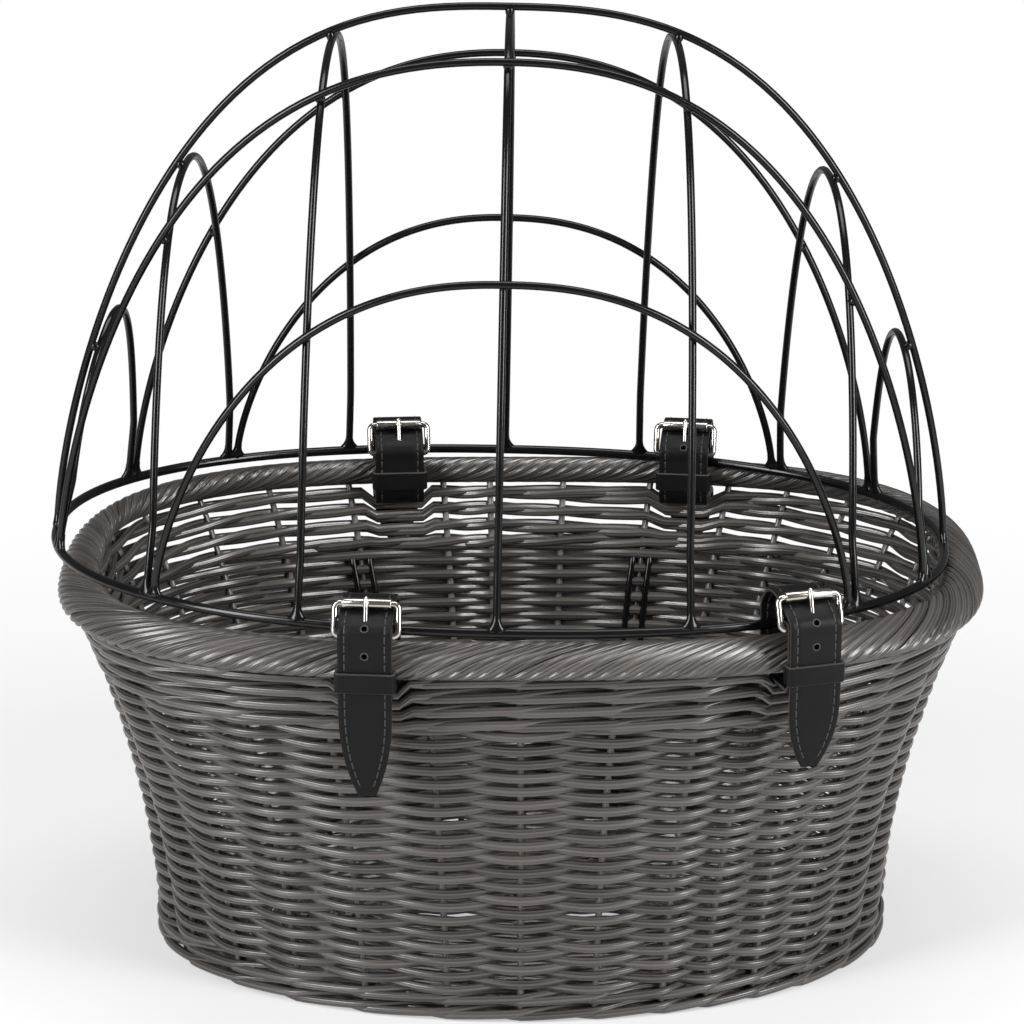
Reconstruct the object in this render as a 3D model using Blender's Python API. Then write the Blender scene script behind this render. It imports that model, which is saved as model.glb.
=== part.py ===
"""Oval polyrattan handlebar basket with a steel wire dome, held by four buckle straps.

Frame: +Z up, +Y towards the bicycle, -Y the front. The origin is the middle of the flat
underside, at the crossing of the oval's axes. All sizes are in metres.
"""

import math

import bmesh
import bpy
import numpy as np
from mathutils import Matrix, Vector

MM = 0.001
SEAT_GAP = 0.3 * MM  # what touching pieces keep between them
CUT_OVERRUN = 2 * MM  # how far every cutter runs past what it cuts

# Oval plan: half length, half depth and squareness (2 is an ellipse) at the foot and at the rim
FOOT_HALF_LENGTH = 176.5 * MM
FOOT_HALF_DEPTH = 121.5 * MM
FOOT_SQUARENESS = 2.2
RIM_HALF_LENGTH = 208 * MM
RIM_HALF_DEPTH = 141 * MM
RIM_SQUARENESS = 2.8
PLAN_SEGMENTS = 60

# Heights of the woven bands, from the ground up
BASE_THICKNESS = 6 * MM
FOOT_WALE_TOP = 14 * MM
FOOT_ROUNDING = 5 * MM
SIDE_TOP = 148 * MM
UPPER_WALE_TOP = 169.5 * MM
RIM_GAP = 7.1 * MM  # open slot under the border, which the straps pass through
WALL_THICKNESS = 7.5 * MM
SIDE_LEVELS = 6

# Border: a fat diagonal roll laid on the stake ends
BORDER_WIDTH = 24 * MM
BORDER_HEIGHT = 16 * MM
BORDER_SIDES = 10

# Stakes: where they stand, as shares of the arc from the middle of the front or of the back
# to the end of the oval
FRONT_RIGHT_SHARES = (0.148, 0.285, 0.378, 0.485, 0.601, 0.725, 0.852)
FRONT_LEFT_SHARES = (0.146, 0.313, 0.460, 0.608, 0.749, 0.883)
BACK_LEFT_SHARES = (0.052, 0.131, 0.292, 0.430, 0.557, 0.677, 0.787, 0.897)
BACK_RIGHT_SHARES = (0.072, 0.220, 0.354, 0.457, 0.570, 0.684, 0.790, 0.900)
STAKE_DIAMETER = 4.4 * MM
STAKE_STAND_OFF = 0.95 * MM  # between the wall's inner face and the straight runs of a stake
STAKE_SIDES = 6
STAKE_SPANS = 4
CROWN_HOOP_HEIGHT = 4.4 * MM
STAKE_REACH_SHARE = 0.45  # how far under the roll a stake end stands, in half border widths

# Dome of welded wire
RING_HALF_LENGTH = 210 * MM
RING_HALF_DEPTH = 141.6 * MM
DOME_SQUARENESS = 2.2
DOME_HEIGHT = 257 * MM
RING_DIAMETER = 4.5 * MM
WIRE_DIAMETER = 3.6 * MM
WELD_OFFSET = 4.1 * MM  # a hoop's axis lies this far under the arch that it crosses
FOOT_SPACING = 4.6 * MM  # between the axes of an arch and a hoop that share a place on the ring
DOME_SHIFT = -9.5 * MM  # the dome sits a little to the left on the basket
DOME_TILT = math.radians(1.2)  # and its left end stands a little higher
RING_LIFT = 2.5 * MM  # what the tilt leaves under the middle of the ring
RING_SEGMENTS = 56
WIRE_SPANS = 26

# Lengthwise arches: where the feet and the middle stand, as shares of the ring's half depth
ARCH_FOOT_SHARES = {"front_upper": -0.31, "front_lower": -0.69,
                    "back_upper": 0.60, "back_lower": 0.81}
ARCH_TOP_SHARES = {"front_upper": -0.39, "front_lower": -0.79,
                   "back_upper": 0.55, "back_lower": 0.873}
# Crosswise hoops, from the left: the middle, as a share of the ring's half length, and the feet,
# beside an arch's where it is named and else at a share of the half length
HOOP_TOP_SHARES = (-0.871, -0.695, -0.370, 0.0, 0.370, 0.695, 0.871)
HOOP_FEET = ("upper", "lower", None, None, None, "lower", "upper")
FREE_FRONT_FOOT_SHARES = (-0.414, 0.0, 0.414)
FREE_BACK_FOOT_SHARES = (-0.343, 0.0, 0.343)

# Straps: belts round the ring and the border, each closed by a roller buckle
STRAP_WIDTH = 24 * MM
STRAP_THICKNESS = 2.2 * MM
STRAP_TIP_WIDTH = 8 * MM
STRAP_SIDE_CLEARANCE = 0.8 * MM
STRAP_STEPS = 40
TONGUE_DIVE = math.radians(40)  # how steeply the tongue passes under the roller
FOLD_TURN = 200  # degrees of leather round the heel bar
FOLD_STEPS = 10
TONGUE_GAP = 0.5 * MM
KEEPER_THICKNESS = 1.4 * MM
KEEPER_HEIGHT = 9 * MM
KEEPER_CLEARANCE = 0.3 * MM
KEEPER_STAND_OFF = 0.9 * MM  # between the keeper and the border
BUCKLE_WIRE = 3 * MM
BUCKLE_PITCH = 14.2 * MM  # from the heel bar to the roller's bar
BUCKLE_LEAN = math.radians(19.5)
BUCKLE_CORNER = 1.8 * MM
HEEL_HEIGHT = 15.5 * MM  # of the heel bar above the middle of the border
ROLLER_DIAMETER = 4.8 * MM
ROLLER_BORE = 3.8 * MM
ROLLER_SHORTFALL = 2 * MM  # how much shorter the roller is than the strap is wide
ROLLER_SIDES = 10
PRONG_WIRE = 2.2 * MM
PRONG_OVERHANG = 3.2 * MM
SLOT_CLEARANCE = 0.7 * MM

# What differs from strap to strap: the stakes it stands between, which side its buckle faces,
# where its keeper starts and where it turns under the border (both from the border's middle),
# how far its tongue hangs below the border's middle, and what it stands off the border's far side
STRAPS = {
    "front_left": dict(quarter="front_left", after=0, outward=True, keeper=-9 * MM,
                       turn=-12.9 * MM, hang=-56 * MM, slack=2.9 * MM, tuck=False),
    "front_right": dict(quarter="front_right", after=2, outward=True, keeper=-9 * MM,
                        turn=-12.9 * MM, hang=-40 * MM, slack=5.6 * MM, tuck=False),
    "back_left": dict(quarter="back_left", after=1, outward=False, keeper=-1.5 * MM,
                      turn=-9.7 * MM, hang=-40 * MM, slack=2.9 * MM, tuck=True),
    "back_right": dict(quarter="back_right", after=1, outward=False, keeper=-1.5 * MM,
                       turn=-9.7 * MM, hang=-40 * MM, slack=2.9 * MM, tuck=True),
}

# Hangers: hairpins of steel rod woven beside two back stakes, bent into hooks for a handlebar
HANGERS = {"hanger_left": ("back_left", 2), "hanger_right": ("back_right", 1)}
HANGER_ROD = 3.5 * MM
HANGER_FOOT = 60 * MM  # height of the rod ends inside the wall
HANGER_SLOT_HEIGHT = 5 * MM
HOOK_REACH = 38 * MM  # from the wall to the axis of the hook's drop
HOOK_BEND = 17 * MM
HOOK_DROP = 34 * MM
INNER_BEND = 2.6 * MM

BORDER_Z = UPPER_WALE_TOP + RIM_GAP + BORDER_HEIGHT / 2
RING_Z = BORDER_Z + BORDER_HEIGHT / 2 + SEAT_GAP + RING_DIAMETER / 2 + RING_LIFT


# Materials


def material(name, colour, roughness, metallic=0.0):
    """A named Principled material."""
    made = bpy.data.materials.new(name)
    made.use_nodes = True
    shader = made.node_tree.nodes["Principled BSDF"]
    shader.inputs["Base Color"].default_value = (*colour, 1)
    shader.inputs["Roughness"].default_value = roughness
    shader.inputs["Metallic"].default_value = metallic
    return made


# Plan curves of the basket


def oval(half_length, half_depth, squareness, angle):
    """A point of a superellipse; angle 0 is its right end and -90 degrees its front."""
    c, s = math.cos(angle), math.sin(angle)
    power = 2 / squareness
    return Vector((math.copysign(abs(c) ** power, c) * half_length,
                   math.copysign(abs(s) ** power, s) * half_depth, 0))


def wall_plan(z):
    """Half length, half depth and squareness of the wall's outer face at a height."""
    rise = z / UPPER_WALE_TOP
    length = FOOT_HALF_LENGTH + (RIM_HALF_LENGTH - FOOT_HALF_LENGTH) * rise * rise
    depth = FOOT_HALF_DEPTH + (RIM_HALF_DEPTH - FOOT_HALF_DEPTH) * rise * rise
    square = FOOT_SQUARENESS + (RIM_SQUARENESS - FOOT_SQUARENESS) * rise
    return length, depth, square


def wall_ring(z, inset):
    """Points round the wall at a height, set in from its outer face."""
    return [stake_station(angle, z, inset).translation for angle in plan_angles()]


def arc_table(steps=1440):
    """The rim oval as (angle, arc length) from the right end, for even spacing."""
    angles = np.linspace(0, math.pi / 2, steps + 1)
    points = [oval(RIM_HALF_LENGTH, RIM_HALF_DEPTH, RIM_SQUARENESS, a) for a in angles]
    lengths = [0.0]
    for before, after in zip(points, points[1:]):
        lengths.append(lengths[-1] + (after - before).length)
    return angles, np.array(lengths)


ARC_ANGLES, ARC_LENGTHS = arc_table()


def quarter_angle(quarter, share):
    """The oval's angle at a share of the arc from the middle of the front or back to an end."""
    from_end = float(np.interp((1 - share) * ARC_LENGTHS[-1], ARC_LENGTHS, ARC_ANGLES))
    return {"front_right": -from_end, "back_right": from_end,
            "front_left": -math.pi + from_end, "back_left": math.pi - from_end}[quarter]


def plan_angles():
    """Angles spaced evenly along the rim, from the right end and counter-clockwise."""
    angles = []
    for k in range(PLAN_SEGMENTS):
        turns, share = divmod(4 * k / PLAN_SEGMENTS, 1)
        angle = float(np.interp(
            (share if turns % 2 == 0 else 1 - share) * ARC_LENGTHS[-1], ARC_LENGTHS, ARC_ANGLES))
        angles.append({0: angle, 1: math.pi - angle, 2: math.pi + angle,
                       3: 2 * math.pi - angle}[int(turns)])
    return angles


QUARTER_SHARES = {"front_right": FRONT_RIGHT_SHARES, "front_left": FRONT_LEFT_SHARES,
                  "back_left": BACK_LEFT_SHARES, "back_right": BACK_RIGHT_SHARES}


def stake_angles():
    """The angle of every stake round the oval."""
    angles = [-math.pi / 2, 0, math.pi]
    for quarter, shares in QUARTER_SHARES.items():
        angles += [quarter_angle(quarter, share) for share in shares]
    return sorted(angles)


def station(angle, half_length, half_depth, squareness, z):
    """A frame on an oval: X along it, Y outward, Z up, as a 4x4 matrix."""
    step = 1 / len(ARC_ANGLES)
    here = oval(half_length, half_depth, squareness, angle)
    along = (oval(half_length, half_depth, squareness, angle + step)
             - oval(half_length, half_depth, squareness, angle - step)).normalized()
    outward = along.cross(Vector((0, 0, 1)))
    frame = Matrix((-along, outward, Vector((0, 0, 1)))).transposed().to_4x4()
    frame.translation = Vector((here.x, here.y, z))
    return frame


def stake_station(angle, z, inset):
    """A frame on the wall at an angle and a height, set in from its outer face."""
    frame = station(angle, *wall_plan(z), z)
    frame.translation = frame @ Vector((0, -inset, 0))
    return frame


# Solids


def new_object(name, mesh, finish, parent=None, place=None):
    """A named object with its finish, placed in its parent's frame or in the world."""
    made = bpy.data.objects.new(name, mesh)
    bpy.context.collection.objects.link(made)
    mesh.materials.append(finish)
    made.parent = parent
    if place is not None:
        made.matrix_basis = place
    return made


def empty(name, place, parent=None):
    """A named frame that pieces are placed in."""
    made = bpy.data.objects.new(name, None)
    bpy.context.collection.objects.link(made)
    made.parent = parent
    made.matrix_basis = place
    return made


def lofted(name, rings, cyclic=False):
    """A closed mesh through rings of points; the ends are capped unless it closes on itself."""
    shape = bmesh.new()
    rows = [[shape.verts.new(p) for p in ring] for ring in rings]
    pairs = list(zip(rows, rows[1:]))
    if cyclic:
        pairs.append((rows[-1], rows[0]))
    for lower, upper in pairs:
        for i in range(len(lower)):
            j = (i + 1) % len(lower)
            shape.faces.new((lower[i], lower[j], upper[j], upper[i]))
    if not cyclic:
        shape.faces.new(rows[0])
        shape.faces.new(rows[-1])
    bmesh.ops.recalc_face_normals(shape, faces=shape.faces)
    mesh = bpy.data.meshes.new(name)
    shape.to_mesh(mesh)
    shape.free()
    mesh.shade_smooth()
    mesh.set_sharp_from_angle(angle=math.radians(40))
    return mesh


def wire(name, points, diameter, finish, parent=None, cyclic=False, bevel_resolution=1):
    """A round rod along points: a curve with a bevel and filled caps."""
    curve = bpy.data.curves.new(name, "CURVE")
    curve.dimensions = "3D"
    curve.bevel_depth = diameter / 2
    curve.bevel_resolution = bevel_resolution
    curve.use_fill_caps = True
    curve.render_resolution_u = 0
    spline = curve.splines.new("POLY")
    spline.points.add(len(points) - 1)
    for slot, p in zip(spline.points, points):
        slot.co = (*p, 1)
    spline.use_cyclic_u = cyclic
    return new_object(name, curve, finish, parent)


def boolean(target, cutter, operation):
    """Cuts or joins with a hidden operand."""
    cutter.hide_render = True
    cutter.display_type = "WIRE"
    step = target.modifiers.new(operation.title(), "BOOLEAN")
    step.operation = operation
    step.object = cutter


def box_mesh(name, size, centre):
    """A plain box mesh."""
    shape = bmesh.new()
    bmesh.ops.create_cube(shape, size=1, matrix=Matrix.Translation(centre) @ Matrix.Diagonal(
        (*size, 1)))
    mesh = bpy.data.meshes.new(name)
    shape.to_mesh(mesh)
    shape.free()
    return mesh


def smooth_path(points, steps, bend_length):
    """Points on a curve through hand-placed ones, closer together where it bends."""
    pts = [Vector(p) for p in points]
    ends = [2 * pts[0] - pts[1], *pts, 2 * pts[-1] - pts[-2]]
    fine = []
    for a, b, c, d in zip(ends, ends[1:], ends[2:], ends[3:]):
        for k in range(24):
            t = k / 24
            fine.append(0.5 * (2 * b + (c - a) * t + (2 * a - 5 * b + 4 * c - d) * t * t
                               + (3 * b - a - 3 * c + d) * t ** 3))
    fine.append(pts[-1])
    runs = [q - p for p, q in zip(fine, fine[1:])]
    turns = [0] + [a.angle(b, 0) for a, b in zip(runs, runs[1:])]
    measure = np.cumsum([0] + [r.length + t * bend_length for r, t in zip(runs, turns)])
    table = np.array([tuple(p) for p in fine])
    even = np.linspace(0, measure[-1], steps + 1)
    return [Vector([np.interp(e, measure, table[:, k]) for k in range(3)]) for e in even]


# The woven body


def make_base(finish):
    """The flat oval bottom inside the foot wale."""
    inset = WALL_THICKNESS + SEAT_GAP
    rings = []
    for z in (0, BASE_THICKNESS):
        rings.append([Vector((p.x, p.y, z)) for p in wall_ring(0, inset)])
    return new_object("base_weave", lofted("base_weave", rings), finish)


def make_foot_wale(finish):
    """The thick rounded rows on which the basket stands."""
    inner = WALL_THICKNESS
    rings = [wall_ring(0, inner), wall_ring(0, FOOT_ROUNDING)]
    for turn in (30, 60, 90):
        a = math.radians(turn)
        z = FOOT_ROUNDING * (1 - math.cos(a))
        rings.append([Vector((p.x, p.y, z)) for p in wall_ring(0, FOOT_ROUNDING * (1 - math.sin(a)))])
    rings += [wall_ring(FOOT_WALE_TOP, 0), wall_ring(FOOT_WALE_TOP, inner)]
    return new_object("foot_wale", lofted("foot_wale", rings, cyclic=True), finish)


def make_side(finish):
    """The plain-woven wall, with a slot over each hanger."""
    low, high = FOOT_WALE_TOP + SEAT_GAP, SIDE_TOP
    levels = [low + (high - low) * k / (SIDE_LEVELS - 1) for k in range(SIDE_LEVELS)]
    rings = [wall_ring(z, 0) for z in levels]
    rings += [wall_ring(z, WALL_THICKNESS) for z in reversed(levels)]
    side = new_object("side_weave", lofted("side_weave", rings, cyclic=True), finish)
    for name, (quarter, index) in HANGERS.items():
        angle = quarter_angle(quarter, QUARTER_SHARES[quarter][index])
        frame = stake_station(angle, SIDE_TOP - HANGER_SLOT_HEIGHT / 2, 0)
        width = 2 * (hanger_leg_offset() + HANGER_ROD / 2 + 2 * SEAT_GAP)
        size = (width, 2 * (WALL_THICKNESS + CUT_OVERRUN), HANGER_SLOT_HEIGHT + CUT_OVERRUN)
        centre = Vector((0, -WALL_THICKNESS / 2, CUT_OVERRUN / 2))
        cutter = new_object(name + "_slot", box_mesh(name + "_slot", size, centre), finish,
                            place=frame)
        boolean(side, cutter, "DIFFERENCE")
    return side


def make_upper_wale(finish):
    """Three long-float rows above the wall, under the open slot."""
    low, high = SIDE_TOP + SEAT_GAP, UPPER_WALE_TOP
    levels = (low, (low + high) / 2, high)
    rings = [wall_ring(z, 0) for z in levels]
    rings += [wall_ring(z, WALL_THICKNESS) for z in reversed(levels)]
    return new_object("upper_wale", lofted("upper_wale", rings, cyclic=True), finish)


def make_border(finish):
    """The rolled border on the stake ends."""
    rings = []
    for angle in plan_angles():
        frame = station(angle, RIM_HALF_LENGTH, RIM_HALF_DEPTH, RIM_SQUARENESS, BORDER_Z)
        rings.append([frame @ Vector((0, math.cos(t) * BORDER_WIDTH / 2,
                                      math.sin(t) * BORDER_HEIGHT / 2))
                      for t in (2 * math.pi * k / BORDER_SIDES for k in range(BORDER_SIDES))])
    return new_object("border_roll", lofted("border_roll", rings, cyclic=True), finish)


def stake_inset():
    """How far a stake's axis lies inside the wall's outer face."""
    return WALL_THICKNESS + STAKE_STAND_OFF + STAKE_DIAMETER / 2


def make_stakes(finish):
    """The stakes and the hoop that joins their feet, as one crown."""
    radius = STAKE_DIAMETER / 2
    hoop_low = BASE_THICKNESS + SEAT_GAP
    hoop_high = hoop_low + CROWN_HOOP_HEIGHT
    inset = WALL_THICKNESS + SEAT_GAP
    rings = [wall_ring(hoop_low, inset), wall_ring(hoop_high, inset),
             wall_ring(hoop_high, inset + STAKE_DIAMETER),
             wall_ring(hoop_low, inset + STAKE_DIAMETER)]
    crown = new_object("stake_crown", lofted("stake_crown", rings, cyclic=True), finish)
    reach = BORDER_WIDTH / 2 * STAKE_REACH_SHARE
    under = math.sqrt(1 - ((reach - radius) / (BORDER_WIDTH / 2)) ** 2)
    top = BORDER_Z - BORDER_HEIGHT / 2 * under - SEAT_GAP
    low = (hoop_low + hoop_high) / 2
    shape = bmesh.new()
    for angle in stake_angles():
        frames = [stake_station(angle, low + (UPPER_WALE_TOP - low) * k / STAKE_SPANS,
                                stake_inset()) for k in range(STAKE_SPANS + 1)]
        frames.append(station(angle, RIM_HALF_LENGTH - reach, RIM_HALF_DEPTH - reach,
                              RIM_SQUARENESS, top))
        rows = []
        for frame in frames:
            rows.append([shape.verts.new(frame @ Vector((math.cos(t) * radius,
                                                         math.sin(t) * radius, 0)))
                         for t in (2 * math.pi * k / STAKE_SIDES for k in range(STAKE_SIDES))])
        for lower, upper in zip(rows, rows[1:]):
            for i in range(STAKE_SIDES):
                j = (i + 1) % STAKE_SIDES
                shape.faces.new((lower[i], lower[j], upper[j], upper[i]))
        shape.faces.new(rows[0])
        shape.faces.new(rows[-1])
    bmesh.ops.recalc_face_normals(shape, faces=shape.faces)
    mesh = bpy.data.meshes.new("stakes")
    shape.to_mesh(mesh)
    shape.free()
    ribs = new_object("stake_ribs_operand", mesh, finish)
    boolean(crown, ribs, "UNION")
    return crown


# Hangers


def hanger_leg_offset():
    """From a stake's axis to the axis of the rod beside it."""
    return STAKE_DIAMETER / 2 + SEAT_GAP + HANGER_ROD / 2


def make_hanger(name, quarter, index, finish):
    """A hairpin: up inside the wall, out through its slot, over and down as a hook."""
    angle = quarter_angle(quarter, QUARTER_SHARES[quarter][index])
    exit_z = SIDE_TOP - HANGER_SLOT_HEIGHT / 2
    frame = stake_station(angle, exit_z, 0)
    inset = WALL_THICKNESS + STAKE_STAND_OFF + HANGER_ROD / 2
    side = hanger_leg_offset()
    top = -INNER_BEND
    half_loop = []
    for turn in (0, 30, 60, 90):  # inward of the wall: from straight up to straight out
        a = math.radians(turn)
        half_loop.append((side, INNER_BEND * (1 - math.cos(a)) - inset,
                          top + INNER_BEND * math.sin(a)))
    for turn in (0, 22.5, 45, 67.5, 90):  # over the handlebar
        a = math.radians(turn)
        half_loop.append((side, HOOK_REACH - HOOK_BEND * (1 - math.sin(a)),
                          -HOOK_BEND * (1 - math.cos(a))))
    for turn in (0, 45, 90):  # round the hook's tip to the other rod
        a = math.radians(turn)
        half_loop.append((side * math.cos(a), HOOK_REACH,
                          side * (1 - math.sin(a)) - HOOK_DROP))
    loop = half_loop + [(-x, y, z) for x, y, z in reversed(half_loop[:-1])]
    points = [frame @ Vector(p) for p in loop]
    heights = [HANGER_FOOT + (exit_z + top - HANGER_FOOT) * k / STAKE_SPANS
               for k in range(STAKE_SPANS)]
    for x, order in ((side, 1), (-side, -1)):
        leg = [stake_station(angle, z, inset) @ Vector((x, 0, 0)) for z in heights]
        points = leg + points if order == 1 else points + leg[::-1]
    return wire(name, points, HANGER_ROD, finish)


# The dome


def ring_depth(x):
    """How deep the ring is at a distance from its middle."""
    return RING_HALF_DEPTH * (1 - (abs(x) / RING_HALF_LENGTH) ** DOME_SQUARENESS) ** (
        1 / DOME_SQUARENESS)


def ring_length(y):
    """How long the ring is at a distance in front of or behind its middle."""
    return RING_HALF_LENGTH * (1 - (abs(y) / RING_HALF_DEPTH) ** DOME_SQUARENESS) ** (
        1 / DOME_SQUARENESS)


def dome_height(x, y):
    """The height of the dome's surface over a point of its plan."""
    reach = ((abs(x) / RING_HALF_LENGTH) ** DOME_SQUARENESS
             + (abs(y) / RING_HALF_DEPTH) ** DOME_SQUARENESS) ** (1 / DOME_SQUARENESS)
    return DOME_HEIGHT * math.sqrt(max(0, 1 - reach * reach))


def ring_step(x, y, distance):
    """The ring's point at a distance along it from (x, y), counter-clockwise if positive."""
    angle = math.atan2(y / RING_HALF_DEPTH, x / RING_HALF_LENGTH)

    def at(a):
        c, s = math.cos(a), math.sin(a)
        scale = (abs(c) ** DOME_SQUARENESS + abs(s) ** DOME_SQUARENESS) ** (-1 / DOME_SQUARENESS)
        return c * scale * RING_HALF_LENGTH, s * scale * RING_HALF_DEPTH

    step = math.copysign(1 / 4000, distance)
    gone, before = 0.0, at(angle)
    while gone < abs(distance):
        angle += step
        after = at(angle)
        gone += math.dist(before, after)
        before = after
    return before


def dome_wire_points(plan, under):
    """Points of a wire whose plan is given, on the dome or under it by the weld offset."""
    foot = RING_DIAMETER / 2 + SEAT_GAP
    fade = DOME_HEIGHT / 8
    count = 400
    raw = []
    for k in range(1, count):
        t = math.pi * k / count
        x, y = plan(t)
        z = dome_height(x, y)
        inward = Vector((-x / RING_HALF_LENGTH ** 2, -y / RING_HALF_DEPTH ** 2,
                         -z / DOME_HEIGHT ** 2)).normalized()
        raw.append(Vector((x, y, z)) + inward * (WELD_OFFSET * under * min(1, z / fade)))
    kept = [p for p in raw if p.z > foot]
    for end in (0, -1):  # the feet come straight down on the ring
        x, y = plan(0 if end == 0 else math.pi)
        kept.insert(0 if end == 0 else len(kept), Vector((x, y, foot)))
    lengths = np.cumsum([0] + [(q - p).length for p, q in zip(kept, kept[1:])])
    table = np.array([tuple(p) for p in kept])
    even = np.linspace(0, lengths[-1], WIRE_SPANS + 1)
    return [Vector([np.interp(e, lengths, table[:, k]) for k in range(3)]) for e in even]


def arch_plan(foot_y, top_y, apart):
    """The plan of a lengthwise arch, with its feet set aside for the hoops'."""
    x, y = ring_step(ring_length(foot_y), foot_y, math.copysign(apart, foot_y))

    def plan(t):
        c = math.cos(t)
        return x * c, top_y + (y - top_y) * c * c

    return plan


def hoop_plan(front_x, top_x, back_x, apart):
    """The plan of a crosswise hoop through its feet and its top."""
    side = math.copysign(1, top_x)
    fx, fy = ring_step(front_x, -ring_depth(front_x), side * apart)
    bx, by = ring_step(back_x, ring_depth(back_x), -side * apart)
    bow = top_x - (fx + bx) / 2

    def plan(t):
        c = math.cos(t)
        share = (1 + c) / 2
        return fx * share + bx * (1 - share) + bow * (1 - c * c), fy * share + by * (1 - share)

    return plan


def dome_plans():
    """Each wire's plan, and whether it passes under the arches."""
    half = FOOT_SPACING / 2
    plans = {"cage_spine_arch": (arch_plan(0, 0, 0), 0)}
    for name, foot in ARCH_FOOT_SHARES.items():
        plans["cage_arch_" + name] = (arch_plan(
            foot * RING_HALF_DEPTH, ARCH_TOP_SHARES[name] * RING_HALF_DEPTH, half), 0)
    free = iter(zip(FREE_FRONT_FOOT_SHARES, FREE_BACK_FOOT_SHARES))
    for number, (top, beside) in enumerate(zip(HOOP_TOP_SHARES, HOOP_FEET), 1):
        if beside is None:
            front_x, back_x = (share * RING_HALF_LENGTH for share in next(free))
        else:
            front_x, back_x = (math.copysign(ring_length(
                ARCH_FOOT_SHARES[f"{face}_{beside}"] * RING_HALF_DEPTH), top)
                for face in ("front", "back"))
        apart = 0 if beside is None else half
        plans[f"cage_hoop_{number}"] = (hoop_plan(
            front_x, top * RING_HALF_LENGTH, back_x, apart), 1)
    return plans


def make_dome(finish):
    """The ring, five arches and seven hoops, in the frame of the dome's rear pivot line."""
    middle = Matrix.Translation((DOME_SHIFT, 0, RING_Z)) @ Matrix.Rotation(DOME_TILT, 4, "Y")
    pivot = middle @ Matrix.Translation((0, RING_HALF_DEPTH, 0))
    holder = empty("dome_pivot", pivot)
    back = Vector((0, -RING_HALF_DEPTH, 0))
    ring = []
    for k in range(RING_SEGMENTS):
        a = 2 * math.pi * k / RING_SEGMENTS
        c, s = math.cos(a), math.sin(a)
        scale = (abs(c) ** DOME_SQUARENESS + abs(s) ** DOME_SQUARENESS) ** (-1 / DOME_SQUARENESS)
        ring.append(Vector((c * scale * RING_HALF_LENGTH, s * scale * RING_HALF_DEPTH, 0)) + back)
    wire("cage_ring", ring, RING_DIAMETER, finish, holder, cyclic=True)
    for name, (plan, under) in dome_plans().items():
        points = [p + back for p in dome_wire_points(plan, under)]
        wire(name, points, WIRE_DIAMETER, finish, holder)
    return holder


# Straps and buckles. Each is drawn in the frame of its station on the border's middle line:
# X along the border, Y towards the buckle's side, Z up.


def strap_sizes():
    """Offsets from the border's middle line that the strap's pieces share."""
    half = STRAP_THICKNESS / 2
    under = BORDER_WIDTH / 2 + KEEPER_STAND_OFF + KEEPER_THICKNESS + KEEPER_CLEARANCE + half  # the layer beneath
    over = under + STRAP_THICKNESS + TONGUE_GAP  # the tongue over it
    wrap = BUCKLE_WIRE / 2 + SEAT_GAP + half  # the leather's turn round the heel bar
    heel = Vector((0, under - wrap, HEEL_HEIGHT))
    roller = heel + Vector((0, -math.sin(BUCKLE_LEAN), math.cos(BUCKLE_LEAN))) * BUCKLE_PITCH
    return dict(under=under, over=over, wrap=wrap, heel=heel, roller=roller, half=half)


def strap_path(turn, hang, slack, tuck):
    """The leather's middle line: its fold round the heel bar, then the rest to its tip."""
    size = strap_sizes()
    under, over, wrap, half = (size[k] for k in ("under", "over", "wrap", "half"))
    heel, roller = size["heel"], size["roller"]
    far = BORDER_WIDTH / 2 + slack + half  # the layer on the other side of the border
    fold = [Vector((0, heel.y + wrap * math.cos(a), heel.z + wrap * math.sin(a)))
            for a in np.linspace(math.radians(FOLD_TURN), 0, FOLD_STEPS)]
    bend = STRAP_THICKNESS * 1.5
    cut = bend * (1 - math.sqrt(0.5))
    points = [(0, under, heel.z), (0, under, HEEL_HEIGHT / 2), (0, under, turn + 2 * bend),
              (0, under, turn + bend), (0, under - cut, turn + cut), (0, under - bend, turn),
              (0, under - 2 * bend, turn), (0, 0, turn), (0, 2 * bend - far, turn),
              (0, bend - far, turn), (0, cut - far, turn + cut), (0, -far, turn + bend),
              (0, -far, turn + 2 * bend), (0, -far, HEEL_HEIGHT / 2)]
    off = ROLLER_DIAMETER / 2 + 2 * SEAT_GAP + half
    below = roller - Vector((0, math.sin(TONGUE_DIVE), math.cos(TONGUE_DIVE))) * off
    points += [(0, -0.98 * far, heel.z + 0.2 * BUCKLE_PITCH),
               (0, -0.66 * far, below.z),
               (0, -0.24 * far, below.z + 0.15 * BUCKLE_PITCH),
               tuple(below),
               (0, (below.y + over) / 2, (below.z + heel.z) / 2 + 0.17 * BUCKLE_PITCH),
               (0, over - 0.03 * far, heel.z + 0.26 * BUCKLE_PITCH),
               (0, over, heel.z - 0.15 * BUCKLE_PITCH), (0, over, HEEL_HEIGHT / 3)]
    if not tuck:
        points += [(0, over, 0), (0, over, turn),
                   (0, over - 0.10 * far, (turn + hang) / 2), (0, over - 0.30 * far, hang)]
        return fold, points
    low = turn - STRAP_THICKNESS - TONGUE_GAP
    corner = STRAP_THICKNESS * 2
    points += [(0, over, low + 2.2 * corner), (0, over - corner * 0.15, low + 0.9 * corner),
               (0, over - corner * 0.8, low + 0.12 * corner), (0, over - 1.9 * corner, low),
               (0, 0, low), (0, 1.2 * corner - far, low),
               (0, -far - 0.1 * corner, low - 0.5 * corner),
               (0, -far - 0.6 * corner, low - 1.6 * corner), (0, -far - 0.7 * corner, hang)]
    return fold, points


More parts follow.
